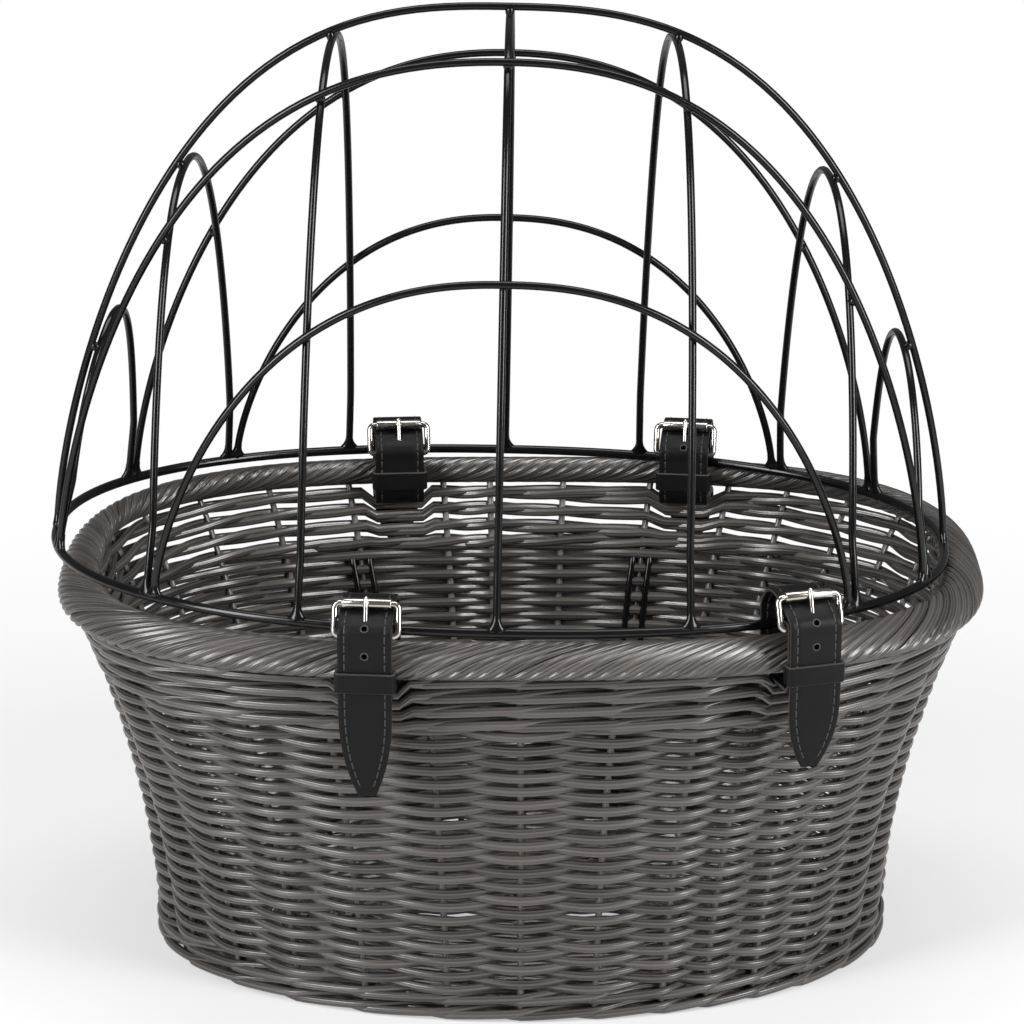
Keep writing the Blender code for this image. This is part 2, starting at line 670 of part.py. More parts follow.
def make_strap(name, frame, spec, finish):
    """One leather belt, its tongue tapered, cut where the prong passes."""
    fold, rest = strap_path(spec["turn"], spec["hang"], spec["slack"], spec["tuck"])
    path = fold + smooth_path(rest, STRAP_STEPS, STRAP_WIDTH / 2)[1:]
    taper_from = spec["turn"] - STRAP_THICKNESS * 2
    rings = []
    hanging = False
    for k, here in enumerate(path):
        before, after = path[max(0, k - 1)], path[min(len(path) - 1, k + 1)]
        along = (after - before).normalized()
        out = Vector((0, along.z, -along.y))
        hanging = hanging or (k > len(path) * 0.8 and here.z < taper_from)
        fall = (here.z - taper_from) / (spec["hang"] - taper_from) if hanging else 0
        half = (STRAP_WIDTH + (STRAP_TIP_WIDTH - STRAP_WIDTH) * max(0, fall)) / 2
        thick = out * STRAP_THICKNESS / 2
        rings.append([here + thick + Vector((half, 0, 0)), here + thick - Vector((half, 0, 0)),
                      here - thick - Vector((half, 0, 0)), here - thick + Vector((half, 0, 0))])
    strap = new_object("strap_" + name, lofted("strap_" + name, rings), finish, frame)
    size = strap_sizes()
    width = PRONG_WIRE + 2 * SLOT_CLEARANCE
    punch = bmesh.new()
    radius = size["wrap"] + size["half"] + SEAT_GAP / 2
    bmesh.ops.create_cone(punch, cap_ends=True, segments=16, radius1=radius, radius2=radius,
                          depth=width, matrix=Matrix.Rotation(math.pi / 2, 4, "Y"))
    mesh = bpy.data.meshes.new(name + "_heel_slot")
    punch.to_mesh(mesh)
    punch.free()
    heel_slot = new_object(name + "_heel_slot", mesh, finish, frame,
                           Matrix.Translation(size["heel"]))
    boolean(strap, heel_slot, "DIFFERENCE")
    start, end = prong_line()
    run = end - start
    reach = run.length
    hole = box_mesh(name + "_prong_hole", (width, PRONG_WIRE + 2 * SLOT_CLEARANCE, reach),
                    Vector((0, 0, (reach + size["wrap"]) / 2)))
    place = Matrix.Translation(size["heel"]) @ Matrix.Rotation(BUCKLE_LEAN, 4, "X") @ (
        Matrix.Translation(start) @ Matrix.Rotation(-math.atan2(run.y, run.z), 4, "X"))
    prong_hole = new_object(name + "_prong_hole", hole, finish, frame, place)
    boolean(strap, prong_hole, "DIFFERENCE")
    return strap


def prong_line():
    """The straight part of the prong in the frame's plane: Z to the roller, Y outward."""
    start = Vector((0, BUCKLE_WIRE / 2 + SEAT_GAP + PRONG_WIRE / 2, 0))
    end = Vector((0, ROLLER_DIAMETER / 2 + SEAT_GAP + PRONG_WIRE / 2, BUCKLE_PITCH))
    end += (end - start).normalized() * PRONG_OVERHANG
    return start, end


def make_buckle(name, frame, finish):
    """A wire frame that swings on the leather's fold, with its roller and prong."""
    size = strap_sizes()
    swing = Matrix.Translation(size["heel"]) @ Matrix.Rotation(BUCKLE_LEAN, 4, "X")
    holder = empty("buckle_pivot_" + name, swing, frame)
    half = STRAP_WIDTH / 2 + STRAP_SIDE_CLEARANCE + BUCKLE_WIRE / 2
    points = []
    for x_sign, z_base, first in ((1, BUCKLE_PITCH, 0), (-1, BUCKLE_PITCH, 90),
                                  (-1, 0, 180), (1, 0, 270)):
        inner = math.copysign(BUCKLE_CORNER, BUCKLE_PITCH / 2 - z_base)
        for turn in (0, 45, 90):
            a = math.radians(first + turn)
            points.append(Vector((x_sign * (half - BUCKLE_CORNER) + BUCKLE_CORNER * math.cos(a), 0,
                                  z_base + inner + BUCKLE_CORNER * math.sin(a))))
    wire("buckle_frame_" + name, points, BUCKLE_WIRE, finish, holder, cyclic=True)
    length = STRAP_WIDTH - ROLLER_SHORTFALL
    rings = [[Vector((x, radius * math.sin(t), radius * math.cos(t)))
              for t in (2 * math.pi * k / ROLLER_SIDES for k in range(ROLLER_SIDES))]
             for x, radius in ((-length / 2, ROLLER_DIAMETER / 2), (length / 2, ROLLER_DIAMETER / 2),
                               (length / 2, ROLLER_BORE / 2), (-length / 2, ROLLER_BORE / 2))]
    mesh = lofted("buckle_roller_" + name, rings, cyclic=True)
    new_object("buckle_roller_" + name, mesh, finish, holder,
               Matrix.Translation((0, 0, BUCKLE_PITCH)))
    start, end = prong_line()
    eye = [Vector((0, start.y * math.sin(math.radians(d)), start.y * math.cos(math.radians(d))))
           for d in (330, 300, 270, 240, 210, 180, 150, 120)]
    wire("buckle_prong_" + name, [*eye, start, (start + end) / 2, end], PRONG_WIRE, finish, holder)
    return holder


def make_keeper(name, frame, low, finish):
    """The leather band round both layers."""
    size = strap_sizes()
    inner = size["under"] - size["half"] - KEEPER_CLEARANCE
    outer = size["over"] + size["half"] + KEEPER_CLEARANCE
    half = STRAP_WIDTH / 2 + KEEPER_CLEARANCE
    middle = (inner + outer) / 2

    def outline(grow, z):
        x, y = half + grow, (outer - inner) / 2 + grow
        cut = KEEPER_THICKNESS * (0.3 if grow == 0 else 0.9)
        corners = [(x, y - cut), (x - cut, y), (cut - x, y), (-x, y - cut),
                   (-x, cut - y), (cut - x, -y), (x - cut, -y), (x, cut - y)]
        return [Vector((px, py, z)) for px, py in corners]

    high = KEEPER_HEIGHT
    rings = [outline(0, 0), outline(KEEPER_THICKNESS, 0), outline(KEEPER_THICKNESS, high),
             outline(0, high)]
    mesh = lofted("keeper_" + name, rings, cyclic=True)
    return new_object("keeper_" + name, mesh, finish, frame,
                      Matrix.Translation((0, middle, low)))


def make_strap_set(name, spec, leather, steel):
    """One belt with its buckle and keeper, between two stakes."""
    shares = QUARTER_SHARES[spec["quarter"]]
    share = (shares[spec["after"]] + shares[spec["after"] + 1]) / 2
    angle = quarter_angle(spec["quarter"], share)
    place = station(angle, RIM_HALF_LENGTH, RIM_HALF_DEPTH, RIM_SQUARENESS, BORDER_Z)
    if not spec["outward"]:
        place = place @ Matrix.Rotation(math.pi, 4, "Z")
    frame = empty("strap_station_" + name, place)
    make_strap(name, frame, spec, leather)
    make_keeper(name, frame, spec["keeper"], leather)
    make_buckle(name, frame, steel)


def main():
    for old in list(bpy.data.objects):
        bpy.data.objects.remove(old)
    rattan = material("grey_polyrattan", (0.115, 0.098, 0.088), 0.42)
    stake = material("grey_stake", (0.30, 0.28, 0.27), 0.5)
    black_wire = material("black_coated_wire", (0.006, 0.006, 0.006), 0.22)
    leather = material("black_leather", (0.012, 0.011, 0.011), 0.45)
    nickel = material("nickel_plate", (0.78, 0.72, 0.66), 0.18, 1.0)
    make_base(rattan)
    make_foot_wale(rattan)
    make_side(rattan)
    make_upper_wale(rattan)
    make_border(rattan)
    make_stakes(stake)
    for name, (quarter, index) in HANGERS.items():
        make_hanger(name, quarter, index, black_wire)
    make_dome(black_wire)
    for name, spec in STRAPS.items():
        make_strap_set(name, spec, leather, nickel)


main()
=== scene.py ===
# %% [markdown]
# # A woven handlebar basket with a wire dome
# The basket is polyrattan strand woven round upright stakes, and over it stands a dome of coated
# wire that four buckle straps hold to the rim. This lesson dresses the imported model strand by
# strand. It opens the model first, because every piece below takes its place from it.

# %% Open the model
import math

import bmesh
import bpy
import numpy as np
from mathutils import Matrix, Vector

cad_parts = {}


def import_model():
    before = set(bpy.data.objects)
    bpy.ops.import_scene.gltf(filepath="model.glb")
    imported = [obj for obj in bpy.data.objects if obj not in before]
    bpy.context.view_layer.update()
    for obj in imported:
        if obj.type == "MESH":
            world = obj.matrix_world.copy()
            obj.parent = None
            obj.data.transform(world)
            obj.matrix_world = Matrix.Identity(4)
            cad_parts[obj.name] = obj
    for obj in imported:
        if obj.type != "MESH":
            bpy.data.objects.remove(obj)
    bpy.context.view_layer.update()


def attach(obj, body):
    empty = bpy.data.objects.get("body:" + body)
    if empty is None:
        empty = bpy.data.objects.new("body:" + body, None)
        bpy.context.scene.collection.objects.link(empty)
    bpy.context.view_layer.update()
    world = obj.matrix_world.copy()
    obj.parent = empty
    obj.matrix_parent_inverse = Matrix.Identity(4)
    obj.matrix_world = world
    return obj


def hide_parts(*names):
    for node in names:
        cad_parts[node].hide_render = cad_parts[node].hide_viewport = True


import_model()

MM = 0.001

# %% [markdown]
# ## Materials as expressions
# Node maths reads best as ordinary maths. A small class wraps a socket and adds a Math node for
# each operator, and one method places any other node.

# %% Sockets that calculate
class Value:
    """A number that changes over a surface."""

    def __init__(self, finish, socket):
        self.finish, self.socket = finish, socket

    def maths(self, operation, *others):
        return self.finish.add("ShaderNodeMath", dict(enumerate(others)), operation=operation)

    def __add__(self, other): return self.maths("ADD", self, other)
    def __radd__(self, other): return self.maths("ADD", other, self)
    def __sub__(self, other): return self.maths("SUBTRACT", self, other)
    def __rsub__(self, other): return self.maths("SUBTRACT", other, self)
    def __mul__(self, other): return self.maths("MULTIPLY", self, other)
    def __rmul__(self, other): return self.maths("MULTIPLY", other, self)
    def __truediv__(self, other): return self.maths("DIVIDE", self, other)


class Finish:
    """A material, written top down."""

    def __init__(self, name, colour, roughness, metallic=0.0, coat=0.0, specular=0.5):
        self.material = bpy.data.materials.new(name)
        self.material.use_nodes = True
        self.tree = self.material.node_tree
        self.shader = self.tree.nodes["Principled BSDF"]
        for socket, value in (("Base Color", (*colour, 1)), ("Roughness", roughness),
                              ("Metallic", metallic), ("Coat Weight", coat),
                              ("Specular IOR Level", specular)):
            self.shader.inputs[socket].default_value = value

    def add(self, kind, sockets=None, out=0, **settings):
        """Any node: its settings first, then the values or links of its sockets."""
        made = self.tree.nodes.new(kind)
        for key, value in settings.items():
            setattr(made, key, value)
        for key, value in (sockets or {}).items():
            if isinstance(value, Value):
                self.tree.links.new(value.socket, made.inputs[key])
            else:
                made.inputs[key].default_value = value
        return Value(self, made.outputs[out])

    def set(self, socket, value):
        self.tree.links.new(value.socket, self.shader.inputs[socket])

    def place(self):
        """Where a point lies on its own object, in metres."""
        return self.add("ShaderNodeTexCoord", out="Object")

    def noise(self, vector, scale, detail=2.0, out="Fac"):
        return self.add("ShaderNodeTexNoise", {"Vector": vector, "Scale": scale, "Detail": detail},
                        out=out)

    def mix(self, share, first, second):
        """A colour between two."""
        made = self.tree.nodes.new("ShaderNodeMix")
        made.data_type = "RGBA"
        for index, value in ((0, share), (6, first), (7, second)):
            if isinstance(value, Value):
                self.tree.links.new(value.socket, made.inputs[index])
            else:
                made.inputs[index].default_value = value if index == 0 else (*value, 1)
        return Value(self, made.outputs[2])

    def bump(self, height):
        """Relief, its height in metres."""
        self.set("Normal", self.add("ShaderNodeBump", {"Height": height, "Strength": 1.0,
                                                       "Distance": 1.0}, out="Normal"))

# %% [markdown]
# ## Polyrattan
# Each strand is extruded plastic with fine ribs along it, satin, a warm dark grey that differs a
# little from strand to strand. Modelled ribs would take millions of faces, so they are relief that
# follows the strand: every strand carries two coordinates, how far along it a point lies and how
# far round it. The valleys are painted a little darker, as painted shade in the grooves.

# %% The strands' plastic
RIBS = 8

def rattan_finish(name, dark, light, roughness, rib_height=0.13 * MM):
    made = Finish(name, dark, roughness, specular=0.75)
    strand = made.add("ShaderNodeUVMap", uv_map="strand")
    parts = made.tree.nodes.new("ShaderNodeSeparateXYZ")
    made.tree.links.new(strand.socket, parts.inputs[0])
    along, around = Value(made, parts.outputs[0]), Value(made, parts.outputs[1])
    tone = made.add("ShaderNodeAttribute", out="Fac", attribute_name="tone")
    ribs = made.add("ShaderNodeMath", {0: around * (2 * math.pi * RIBS)}, operation="SINE")
    streak_at = made.add("ShaderNodeCombineXYZ", {0: along * 14, 1: around * 40, 2: tone * 60})
    streaks = made.noise(streak_at, 1.0, 3.0)
    blotch = made.noise(made.place(), 45.0, 3.0)
    # ribs * 0.30 darkens the rib valleys as painted shade; the other terms are the plastic's own
    # colour
    share = tone * 0.5 + streaks * 0.35 + blotch * 0.2 + ribs * 0.30
    made.set("Base Color", made.mix(share, dark, light))
    made.set("Roughness", roughness - 0.08 + streaks * 0.16)
    scratch = made.noise(made.add("ShaderNodeCombineXYZ", {0: along * 60, 1: around * 45,
                                                           2: tone * 9}), 1.0, 2.0)
    made.bump(ribs * (rib_height / 2) + scratch * (0.02 * MM))
    return made.material

rattan = rattan_finish("grey_polyrattan_strand", (0.014, 0.0124, 0.0114),
                       (0.082, 0.073, 0.067), 0.29)
stake_plastic = rattan_finish("grey_stake_strand", (0.06, 0.055, 0.052),
                              (0.15, 0.140, 0.133), 0.36)

# %% [markdown]
# ## Coated wire, leather, thread and nickel
# The wire has a thick gloss black coat with a faint orange-peel. The leather is black and finely
# grained with a soft sheen, its cut edges are greyer, and the buckles are nickel plated. Picture
# textures would need unwrapping, so each finish is noise at the size of its real grain.

# %% The other finishes
def wire_finish():
    made = Finish("gloss_black_coat", (0.003, 0.003, 0.003), 0.16, specular=0.3)
    made.bump(made.noise(made.place(), 420.0, 2.0) * (0.02 * MM))
    wear = made.noise(made.place(), 160.0, 4.0)
    made.set("Roughness", 0.10 + wear * 0.16)
    return made.material

def leather_finish():
    made = Finish("black_grained_leather", (0.003, 0.003, 0.003), 0.5, specular=0.16)
    at = made.place()
    grain = made.add("ShaderNodeTexVoronoi", {"Vector": at, "Scale": 1500.0}, out="Distance")
    pores = made.noise(at, 900.0, 3.0)
    soft = made.noise(at, 70.0, 3.0)
    made.set("Base Color", made.mix(soft, (0.0015, 0.0015, 0.0016), (0.0045, 0.0044, 0.0045)))
    made.set("Roughness", 0.36 + soft * 0.24)
    made.bump(grain * (0.03 * MM) + pores * (0.02 * MM) + soft * (0.10 * MM))
    return made.material

def edge_finish():
    made = Finish("cut_leather_edge", (0.09, 0.078, 0.068), 0.6)
    fibre = made.noise(made.place(), 1100.0, 4.0)
    made.set("Base Color", made.mix(fibre, (0.010, 0.009, 0.008), (0.045, 0.040, 0.036)))
    made.bump(fibre * (0.12 * MM))
    return made.material

def thread_finish():
    made = Finish("dark_grey_thread", (0.06, 0.06, 0.06), 0.55)
    twist = made.noise(made.place(), 2600.0, 1.0)
    made.bump(twist * (0.08 * MM))
    made.set("Base Color", made.mix(twist, (0.006, 0.006, 0.006), (0.034, 0.034, 0.035)))
    return made.material

def nickel_finish():
    made = Finish("nickel_plating", (0.80, 0.74, 0.67), 0.16, metallic=1.0)
    cloud = made.noise(made.place(), 240.0, 3.0)
    made.set("Base Color", made.mix(cloud, (0.40, 0.37, 0.33), (0.62, 0.585, 0.54)))
    made.set("Roughness", 0.10 + cloud * 0.16)
    made.bump(made.noise(made.place(), 700.0, 2.0) * (0.02 * MM))
    return made.material

coated, leather, cut_edge = wire_finish(), leather_finish(), edge_finish()
thread, nickel = thread_finish(), nickel_finish()
# The holes' mouths are near-black discs: painted shade where a hole shows its dark inside.
hole_shade_paint = Finish("painted_hole_shade", (0.001, 0.001, 0.001), 0.9, specular=0.0).material
print("finishes", len(bpy.data.materials))

# %% [markdown]
# ## One mesh for many strands
# A basket holds some hundred metres of strand. Bevelled curves could draw it, but slowly, and with
# one round section. Here each strand is a tube of rings along its path, with its own section and
# tone, and hundreds go into one mesh. Arrays make that quick: the whole wall takes about a second.

# %% Tubes in bulk
SEED = 7
rng = np.random.default_rng(SEED)
print("random drift from seed", SEED)

def unit(v):
    return v / np.linalg.norm(v, axis=-1, keepdims=True)


class Bundle:
    """Tubes that become one object."""

    def __init__(self, name):
        self.name, self.points, self.quads, self.uvs, self.tones = name, [], [], [], []
        self.count = 0

    def tube(self, path, side, rise, wide, tall, closed=False, sides=8, tone=None, start=0.0):
        """A tube along path; its section has half sizes wide and tall along side and rise."""
        n = len(path)
        wide = np.broadcast_to(wide, (n,))[:, None, None]
        tall = np.broadcast_to(tall, (n,))[:, None, None]
        turn = np.linspace(0, 2 * np.pi, sides, endpoint=False)
        ring = (path[:, None] + side[:, None] * wide * np.cos(turn)[None, :, None]
                + rise[:, None] * tall * np.sin(turn)[None, :, None])
        rows = n if closed else n - 1
        i = np.arange(rows)[:, None]
        j = np.arange(sides)[None, :]
        ni, nj = (i + 1) % n, (j + 1) % sides
        quads = np.stack([i * sides + j, i * sides + nj, ni * sides + nj, ni * sides + j], -1)
        steps = np.linalg.norm(np.roll(path, -1, axis=0) - path, axis=1)
        run = start + np.concatenate([[0], np.cumsum(steps)])
        u = np.stack([run[:-1][:rows], run[:-1][:rows], run[1:][:rows], run[1:][:rows]], -1)
        u = np.broadcast_to(u[:, None, :], (rows, sides, 4))
        v = np.stack([j, j + 1, j + 1, j], -1) / sides
        v = np.broadcast_to(v, (rows, sides, 4))
        self.points.append(ring.reshape(-1, 3))
        self.quads.append(quads.reshape(-1, 4) + self.count)
        self.uvs.append(np.stack([u, v], -1).reshape(-1, 2))
        self.tones.append(np.full(n * sides, rng.random() if tone is None else tone))
        self.count += n * sides

    def build(self, material, slot, node=None, body="basket"):
        """The finished object on its body; node is the solid that it is shown for."""
        points, quads = np.concatenate(self.points), np.concatenate(self.quads)
        mesh = bpy.data.meshes.new(self.name)
        mesh.vertices.add(len(points))
        mesh.vertices.foreach_set("co", points.astype(np.float32).ravel())
        mesh.loops.add(quads.size)
        mesh.loops.foreach_set("vertex_index", quads.astype(np.int32).ravel())
        mesh.polygons.add(len(quads))
        mesh.polygons.foreach_set("loop_start", np.arange(0, quads.size, 4, dtype=np.int32))
        mesh.update(calc_edges=True)
        layer = mesh.uv_layers.new(name="strand")
        layer.uv.foreach_set("vector", np.concatenate(self.uvs).astype(np.float32).ravel())
        tone = mesh.attributes.new("tone", "FLOAT", "POINT")
        tone.data.foreach_set("value", np.concatenate(self.tones).astype(np.float32))
        mesh.shade_smooth()
        mesh.materials.append(material)
        made = bpy.data.objects.new(self.name, mesh)
        bpy.context.collection.objects.link(made)
        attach(made, body)
        if node:
            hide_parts(node)
        print(self.name, len(self.points), "tubes,", len(quads), "faces")


# %% [markdown]
# ## The basket's shape
# Seen from above the basket is a superellipse, almost an ellipse at the foot and squarer at the
# rim, and it flares more and more as it rises. Distances along it are measured on the rim, from
# the middle of the back, so that seams and strand ends fall where the photograph doesn't look.

# %% Plan curves
FOOT = (176.5 * MM, 121.5 * MM, 2.0)
RIM = (208 * MM, 141 * MM, 2.8)
WALE_TOP, WALE_LOW, FOOT_TOP = 169.5 * MM, 151.5 * MM, 14 * MM
BORDER_Z = 184.6 * MM
HALF_WIDE, HALF_THICK, BORDER_LEAN = 10.8 * MM, 6.3 * MM, math.radians(27)

def oval(half_length, half_depth, squareness, angle):
    c, s = np.cos(angle), np.sin(angle)
    power = 2 / squareness
    x = np.sign(c) * np.abs(c) ** power * half_length
    y = np.sign(s) * np.abs(s) ** power * half_depth
    return np.stack([x, y, np.zeros_like(x)], -1)

even = np.linspace(0, 1, 2001)
eased = even ** 2 / (even ** 2 + (1 - even) ** 2)
loop_angles = np.concatenate([math.pi / 2 * (1 + quarter + eased[:-1]) for quarter in range(4)]
                             + [[2.5 * math.pi]])
loop_points = oval(*RIM, loop_angles)
loop_runs = np.concatenate([[0], np.cumsum(np.linalg.norm(np.diff(loop_points, axis=0), axis=1))])
LOOP = loop_runs[-1]
print("rim length in mm", round(LOOP / MM, 1))

def wall_size(z):
    rise = np.maximum(z, 0) / WALE_TOP
    flare = rise * rise
    return (FOOT[0] + (RIM[0] - FOOT[0]) * flare, FOOT[1] + (RIM[1] - FOOT[1]) * flare,
            FOOT[2] + (RIM[2] - FOOT[2]) * rise)

def round_oval(run, size):
    """Points of an oval as far round it as the runs are round the rim."""
    points = oval(*size, loop_angles)
    lengths = np.concatenate([[0], np.cumsum(np.linalg.norm(np.diff(points, axis=0), axis=1))])
    share = np.mod(run, LOOP) / LOOP
    return np.stack([np.interp(share * lengths[-1], lengths, points[:, k]) for k in (0, 1)], -1)

LEVELS = np.linspace(0, 190 * MM, 39)
GRID_RUNS = np.linspace(0, LOOP, 1441)
GRID = np.stack([round_oval(GRID_RUNS, wall_size(z)) for z in LEVELS])

def wall_points(run, z):
    """Where the wall's outer face is, read between the grid's levels and runs."""
    row = np.clip(z / LEVELS[1], 0, len(LEVELS) - 1.001)
    column = np.mod(run, LOOP) / GRID_RUNS[1]
    i, j = row.astype(int), np.minimum(column.astype(int), len(GRID_RUNS) - 2)
    a, b = (row - i)[:, None], (column - j)[:, None]
    lower = GRID[i, j] * (1 - b) + GRID[i, j + 1] * b
    upper = GRID[i + 1, j] * (1 - b) + GRID[i + 1, j + 1] * b
    return lower * (1 - a) + upper * a

def on_wall(run, z, size=None):
    """Points on the wall's outer face, and the outward direction at each."""
    run = np.asarray(run, float)
    z = np.broadcast_to(z, run.shape)
    find = (lambda r: wall_points(r, z)) if size is None else (lambda r: round_oval(r, size))
    gap = 1 * MM
    along = unit(find(run + gap) - find(run - gap))
    outward = np.stack([along[:, 1], -along[:, 0], np.zeros(len(run))], -1)
    return np.column_stack([find(run), z]), outward

# %% [markdown]
# ## Stakes
# Thirty-two upright strands carry the weave. A maker's spacing is never even, so their places
# aren't worked out but measured, as shares of the way from the middle of the front or the back to
# the ends. They are lighter than the weavers, and they lean out with the wall and end inside the
# rolled border.

# %% Where the stakes stand
STAKE_SHARES = {
    "back_left": (0.052, 0.131, 0.292, 0.430, 0.557, 0.677, 0.787, 0.897),
    "front_left": (0.146, 0.313, 0.460, 0.608, 0.749, 0.883),
    "front_right": (0.148, 0.285, 0.378, 0.485, 0.601, 0.725, 0.852),
    "back_right": (0.072, 0.220, 0.354, 0.457, 0.570, 0.684, 0.790, 0.900)}
QUARTER_RUN = {"back_left": (0, 1), "front_left": (2, -1), "front_right": (2, 1),
               "back_right": (4, -1)}

def run_at(quarter, share):
    start, sign = QUARTER_RUN[quarter]
    return (start + sign * share) * LOOP / 4

stake_runs = np.array(sorted([LOOP / 4, LOOP / 2, 3 * LOOP / 4] + [
    run_at(q, share) for q, shares in STAKE_SHARES.items() for share in shares]))
STAKES = len(stake_runs)
STRAND_TALL, STRAND_WIDE, STAKE_SIZE = 4.8 * MM, 3.6 * MM, 3.2 * MM
SWING = (STRAND_WIDE + STAKE_SIZE) / 2 * 0.86  # the strands press a little into the stakes
DROOP = 0.75 * MM  # outer passes sit this much low and inner ones high, which closes the slots
STAKE_INSET = STRAND_WIDE / 2 + SWING
UP = np.array([0.0, 0.0, 1.0])

def round_loop(per_gap, turns=1):
    """Runs along the rim, and the same as stake numbers, with points spread between stakes."""
    ends = np.append(stake_runs, stake_runs[0] + LOOP)
    runs, numbers = [], []
    for turn in range(turns):
        for k in range(STAKES):
            share = np.arange(per_gap) / per_gap
            runs.append(ends[k] + (ends[k + 1] - ends[k]) * share + turn * LOOP)
            numbers.append(k + share + turn * STAKES)
    return np.concatenate(runs), np.concatenate(numbers)

def wobble(runs, amount, waves):
    """A smooth random drift that closes on itself."""
    total = np.zeros(len(runs))
    for wave in range(1, waves + 1):
        size = rng.normal()
        total += size * np.sin(2 * np.pi * wave * runs / LOOP + rng.random() * 6.3) / wave ** 0.5
    return amount * total

stakes = Bundle("stakes")
for run in stake_runs:
    z = np.concatenate([np.linspace(6 * MM, WALE_TOP, 14), [173 * MM, 177 * MM, 182 * MM]])
    foot, outward = on_wall(np.full(len(z), run), z)
    lean = np.interp(z / MM, [0, 169.5, 182], [1, 1, 0.62])
    path = foot - outward * (STAKE_INSET * lean)[:, None]
    path[:, 2] = z
    along = np.stack([-outward[:, 1], outward[:, 0], np.zeros(len(z))], -1)
    stakes.tube(path, along, outward, STAKE_SIZE / 2, STAKE_SIZE / 2)
stakes.build(stake_plastic, "grey_stake", "stake_crown")

# %% [markdown]
# ## The plain weave
# Every row goes outside one stake and inside the next, and the row above does the opposite. A
# cosine over the stake number gives that swing. A small drift in height keeps it handmade. Seen
# from a little above, slots would open over the lower strands, so inner passes sit a bit higher.

# %% Thirty-nine rows of plain weave
ROWS = 39
side_low, side_high = FOOT_TOP + 0.3 * MM, WALE_LOW
pitch = (side_high - side_low) / ROWS
runs, numbers = round_loop(8)
weave = Bundle("side_strands")
shared_drift = wobble(runs, 0.25 * MM, 6)
for row in range(ROWS):
    z = side_low + (row + 0.5) * pitch + shared_drift + wobble(runs, 0.11 * MM, 24)
    swing = np.cos(np.pi * (numbers + row))
    face, outward = on_wall(runs, z)
    inset = STAKE_INSET - SWING * swing + wobble(runs, 0.10 * MM, 30)
    path = face - outward * inset[:, None]
    path[:, 2] = z - DROOP * swing
    flat = 1 - 0.10 * (1 - np.abs(swing))
    weave.tube(path, outward, np.broadcast_to(UP, path.shape), STRAND_WIDE / 2,
               STRAND_TALL / 2 * flat, closed=True, start=row * 1.3)
weave.build(rattan, "grey_polyrattan", "side_weave")

# %% [markdown]
# ## Three-strand wales
# The rows under the border and the rows at the foot are waled: three strands are worked together,
# each passing outside two stakes and inside one. While it is outside a strand climbs over its
# neighbours, which makes the long slanting floats. Strands step up a row at the middle of the back,
# where a maker would too. The top rows rise to the border and dip where a belt passes over them.

# %% Wales
BELT_LIFTS = {("front_left", 0): 0.4 * MM, ("front_right", 2): 0.4 * MM,  # all the lift that
              ("back_left", 1): 4.2 * MM, ("back_right", 1): 4.2 * MM}  # a belt leaves room for
BACK_RISE = 2.5 * MM  # the border's middle is this much higher at the back

def belt_run(quarter, after):
    """A belt lies midway between two stakes."""
    return run_at(quarter, (STAKE_SHARES[quarter][after] + STAKE_SHARES[quarter][after + 1]) / 2)

def backness(runs):
    """1 at the middle of the back, 0 all along the front."""
    return np.clip(np.cos(2 * np.pi * runs / LOOP) * 1.3, 0, 1)

def crown_lift(runs):
    """How much the top wale rises above its level: not under a belt, more at the back."""
    lift = 6.8 * MM + 2.4 * MM * backness(runs)
    for (quarter, after), left in BELT_LIFTS.items():
        apart = np.abs(np.mod(runs - belt_run(quarter, after) + LOOP / 2, LOOP) - LOOP / 2)
        lift = left + (lift - left) * np.clip((apart - 12.3 * MM) / (5 * MM), 0, 1)
    return lift

def waling(bundle, low, high, rounds, tall, wide, foot_round=0.0, lift=None):
    """Three strands that go round a band and step up a row each time they pass the back."""
    step = 5  # stakes that a step up takes, and that the strands' ends overlap
    runs, numbers = round_loop(8, rounds)
    runs = np.concatenate([runs[-8 * step:] - rounds * LOOP, runs])
    numbers = np.concatenate([numbers[-8 * step:] - rounds * STAKES, numbers])
    height = (high - low) / rounds
    turns = sum(np.clip((numbers - STAKES * k) / step + 1, 0, 1) for k in range(1, rounds))
    climb_by = height / 4.4
    for strand in range(3):
        phase = np.mod(numbers - strand + 0.5, 3)
        climb = np.where(phase < 2, phase - 1, 1 - 2 * (phase - 2)) * climb_by
        climb = np.convolve(np.pad(climb, 3, mode="edge"), np.ones(7) / 7, mode="valid")
        swing = np.clip(1 / 3 + 4 / 3 * np.cos(2 * np.pi * (numbers - strand - 0.5) / 3), -1, 1.05)
        z = low + height * (0.5 + turns) + climb
        z = z + wobble(runs, 0.12 * MM, 20)
        if lift:
            z = z + lift(runs) * np.clip((z - low) / (high - low - height / 2), 0, 1)
        face, outward = on_wall(runs, z)
        inset = wide / 2 + (wide + STAKE_SIZE) / 2 * (1 - swing)
        if foot_round:
            under = np.clip((foot_round - z) / foot_round, 0, 1)
            inset = inset + foot_round * (1 - np.sqrt(1 - under ** 2)) * 0.6
        path = face - outward * inset[:, None]
        path[:, 2] = z - DROOP * swing
        bundle.tube(path, outward, np.broadcast_to(UP, path.shape), wide / 2, tall / 2,
                    start=strand * 2.1)

upper = Bundle("upper_wale_strands")
waling(upper, WALE_LOW - 3.2 * MM, WALE_TOP + 0.7 * MM, 4, 4.6 * MM, 3.8 * MM, lift=crown_lift)
upper.build(rattan, "grey_polyrattan", "upper_wale")

foot = Bundle("foot_wale_strands")
waling(foot, 0.4 * MM, FOOT_TOP + 1 * MM, 2, 4.4 * MM, 4.2 * MM, foot_round=5 * MM)
foot.build(rattan, "grey_polyrattan", "foot_wale")

# %% [markdown]
# ## The rolled border
# The stake ends are laid over one another into a fat roll. Seen from outside, its strands climb to
# the right over the top and dive inside, like the lay of a rope, so the border is built as strands
# that wind round an oval section. A dark core keeps daylight out of the roll.

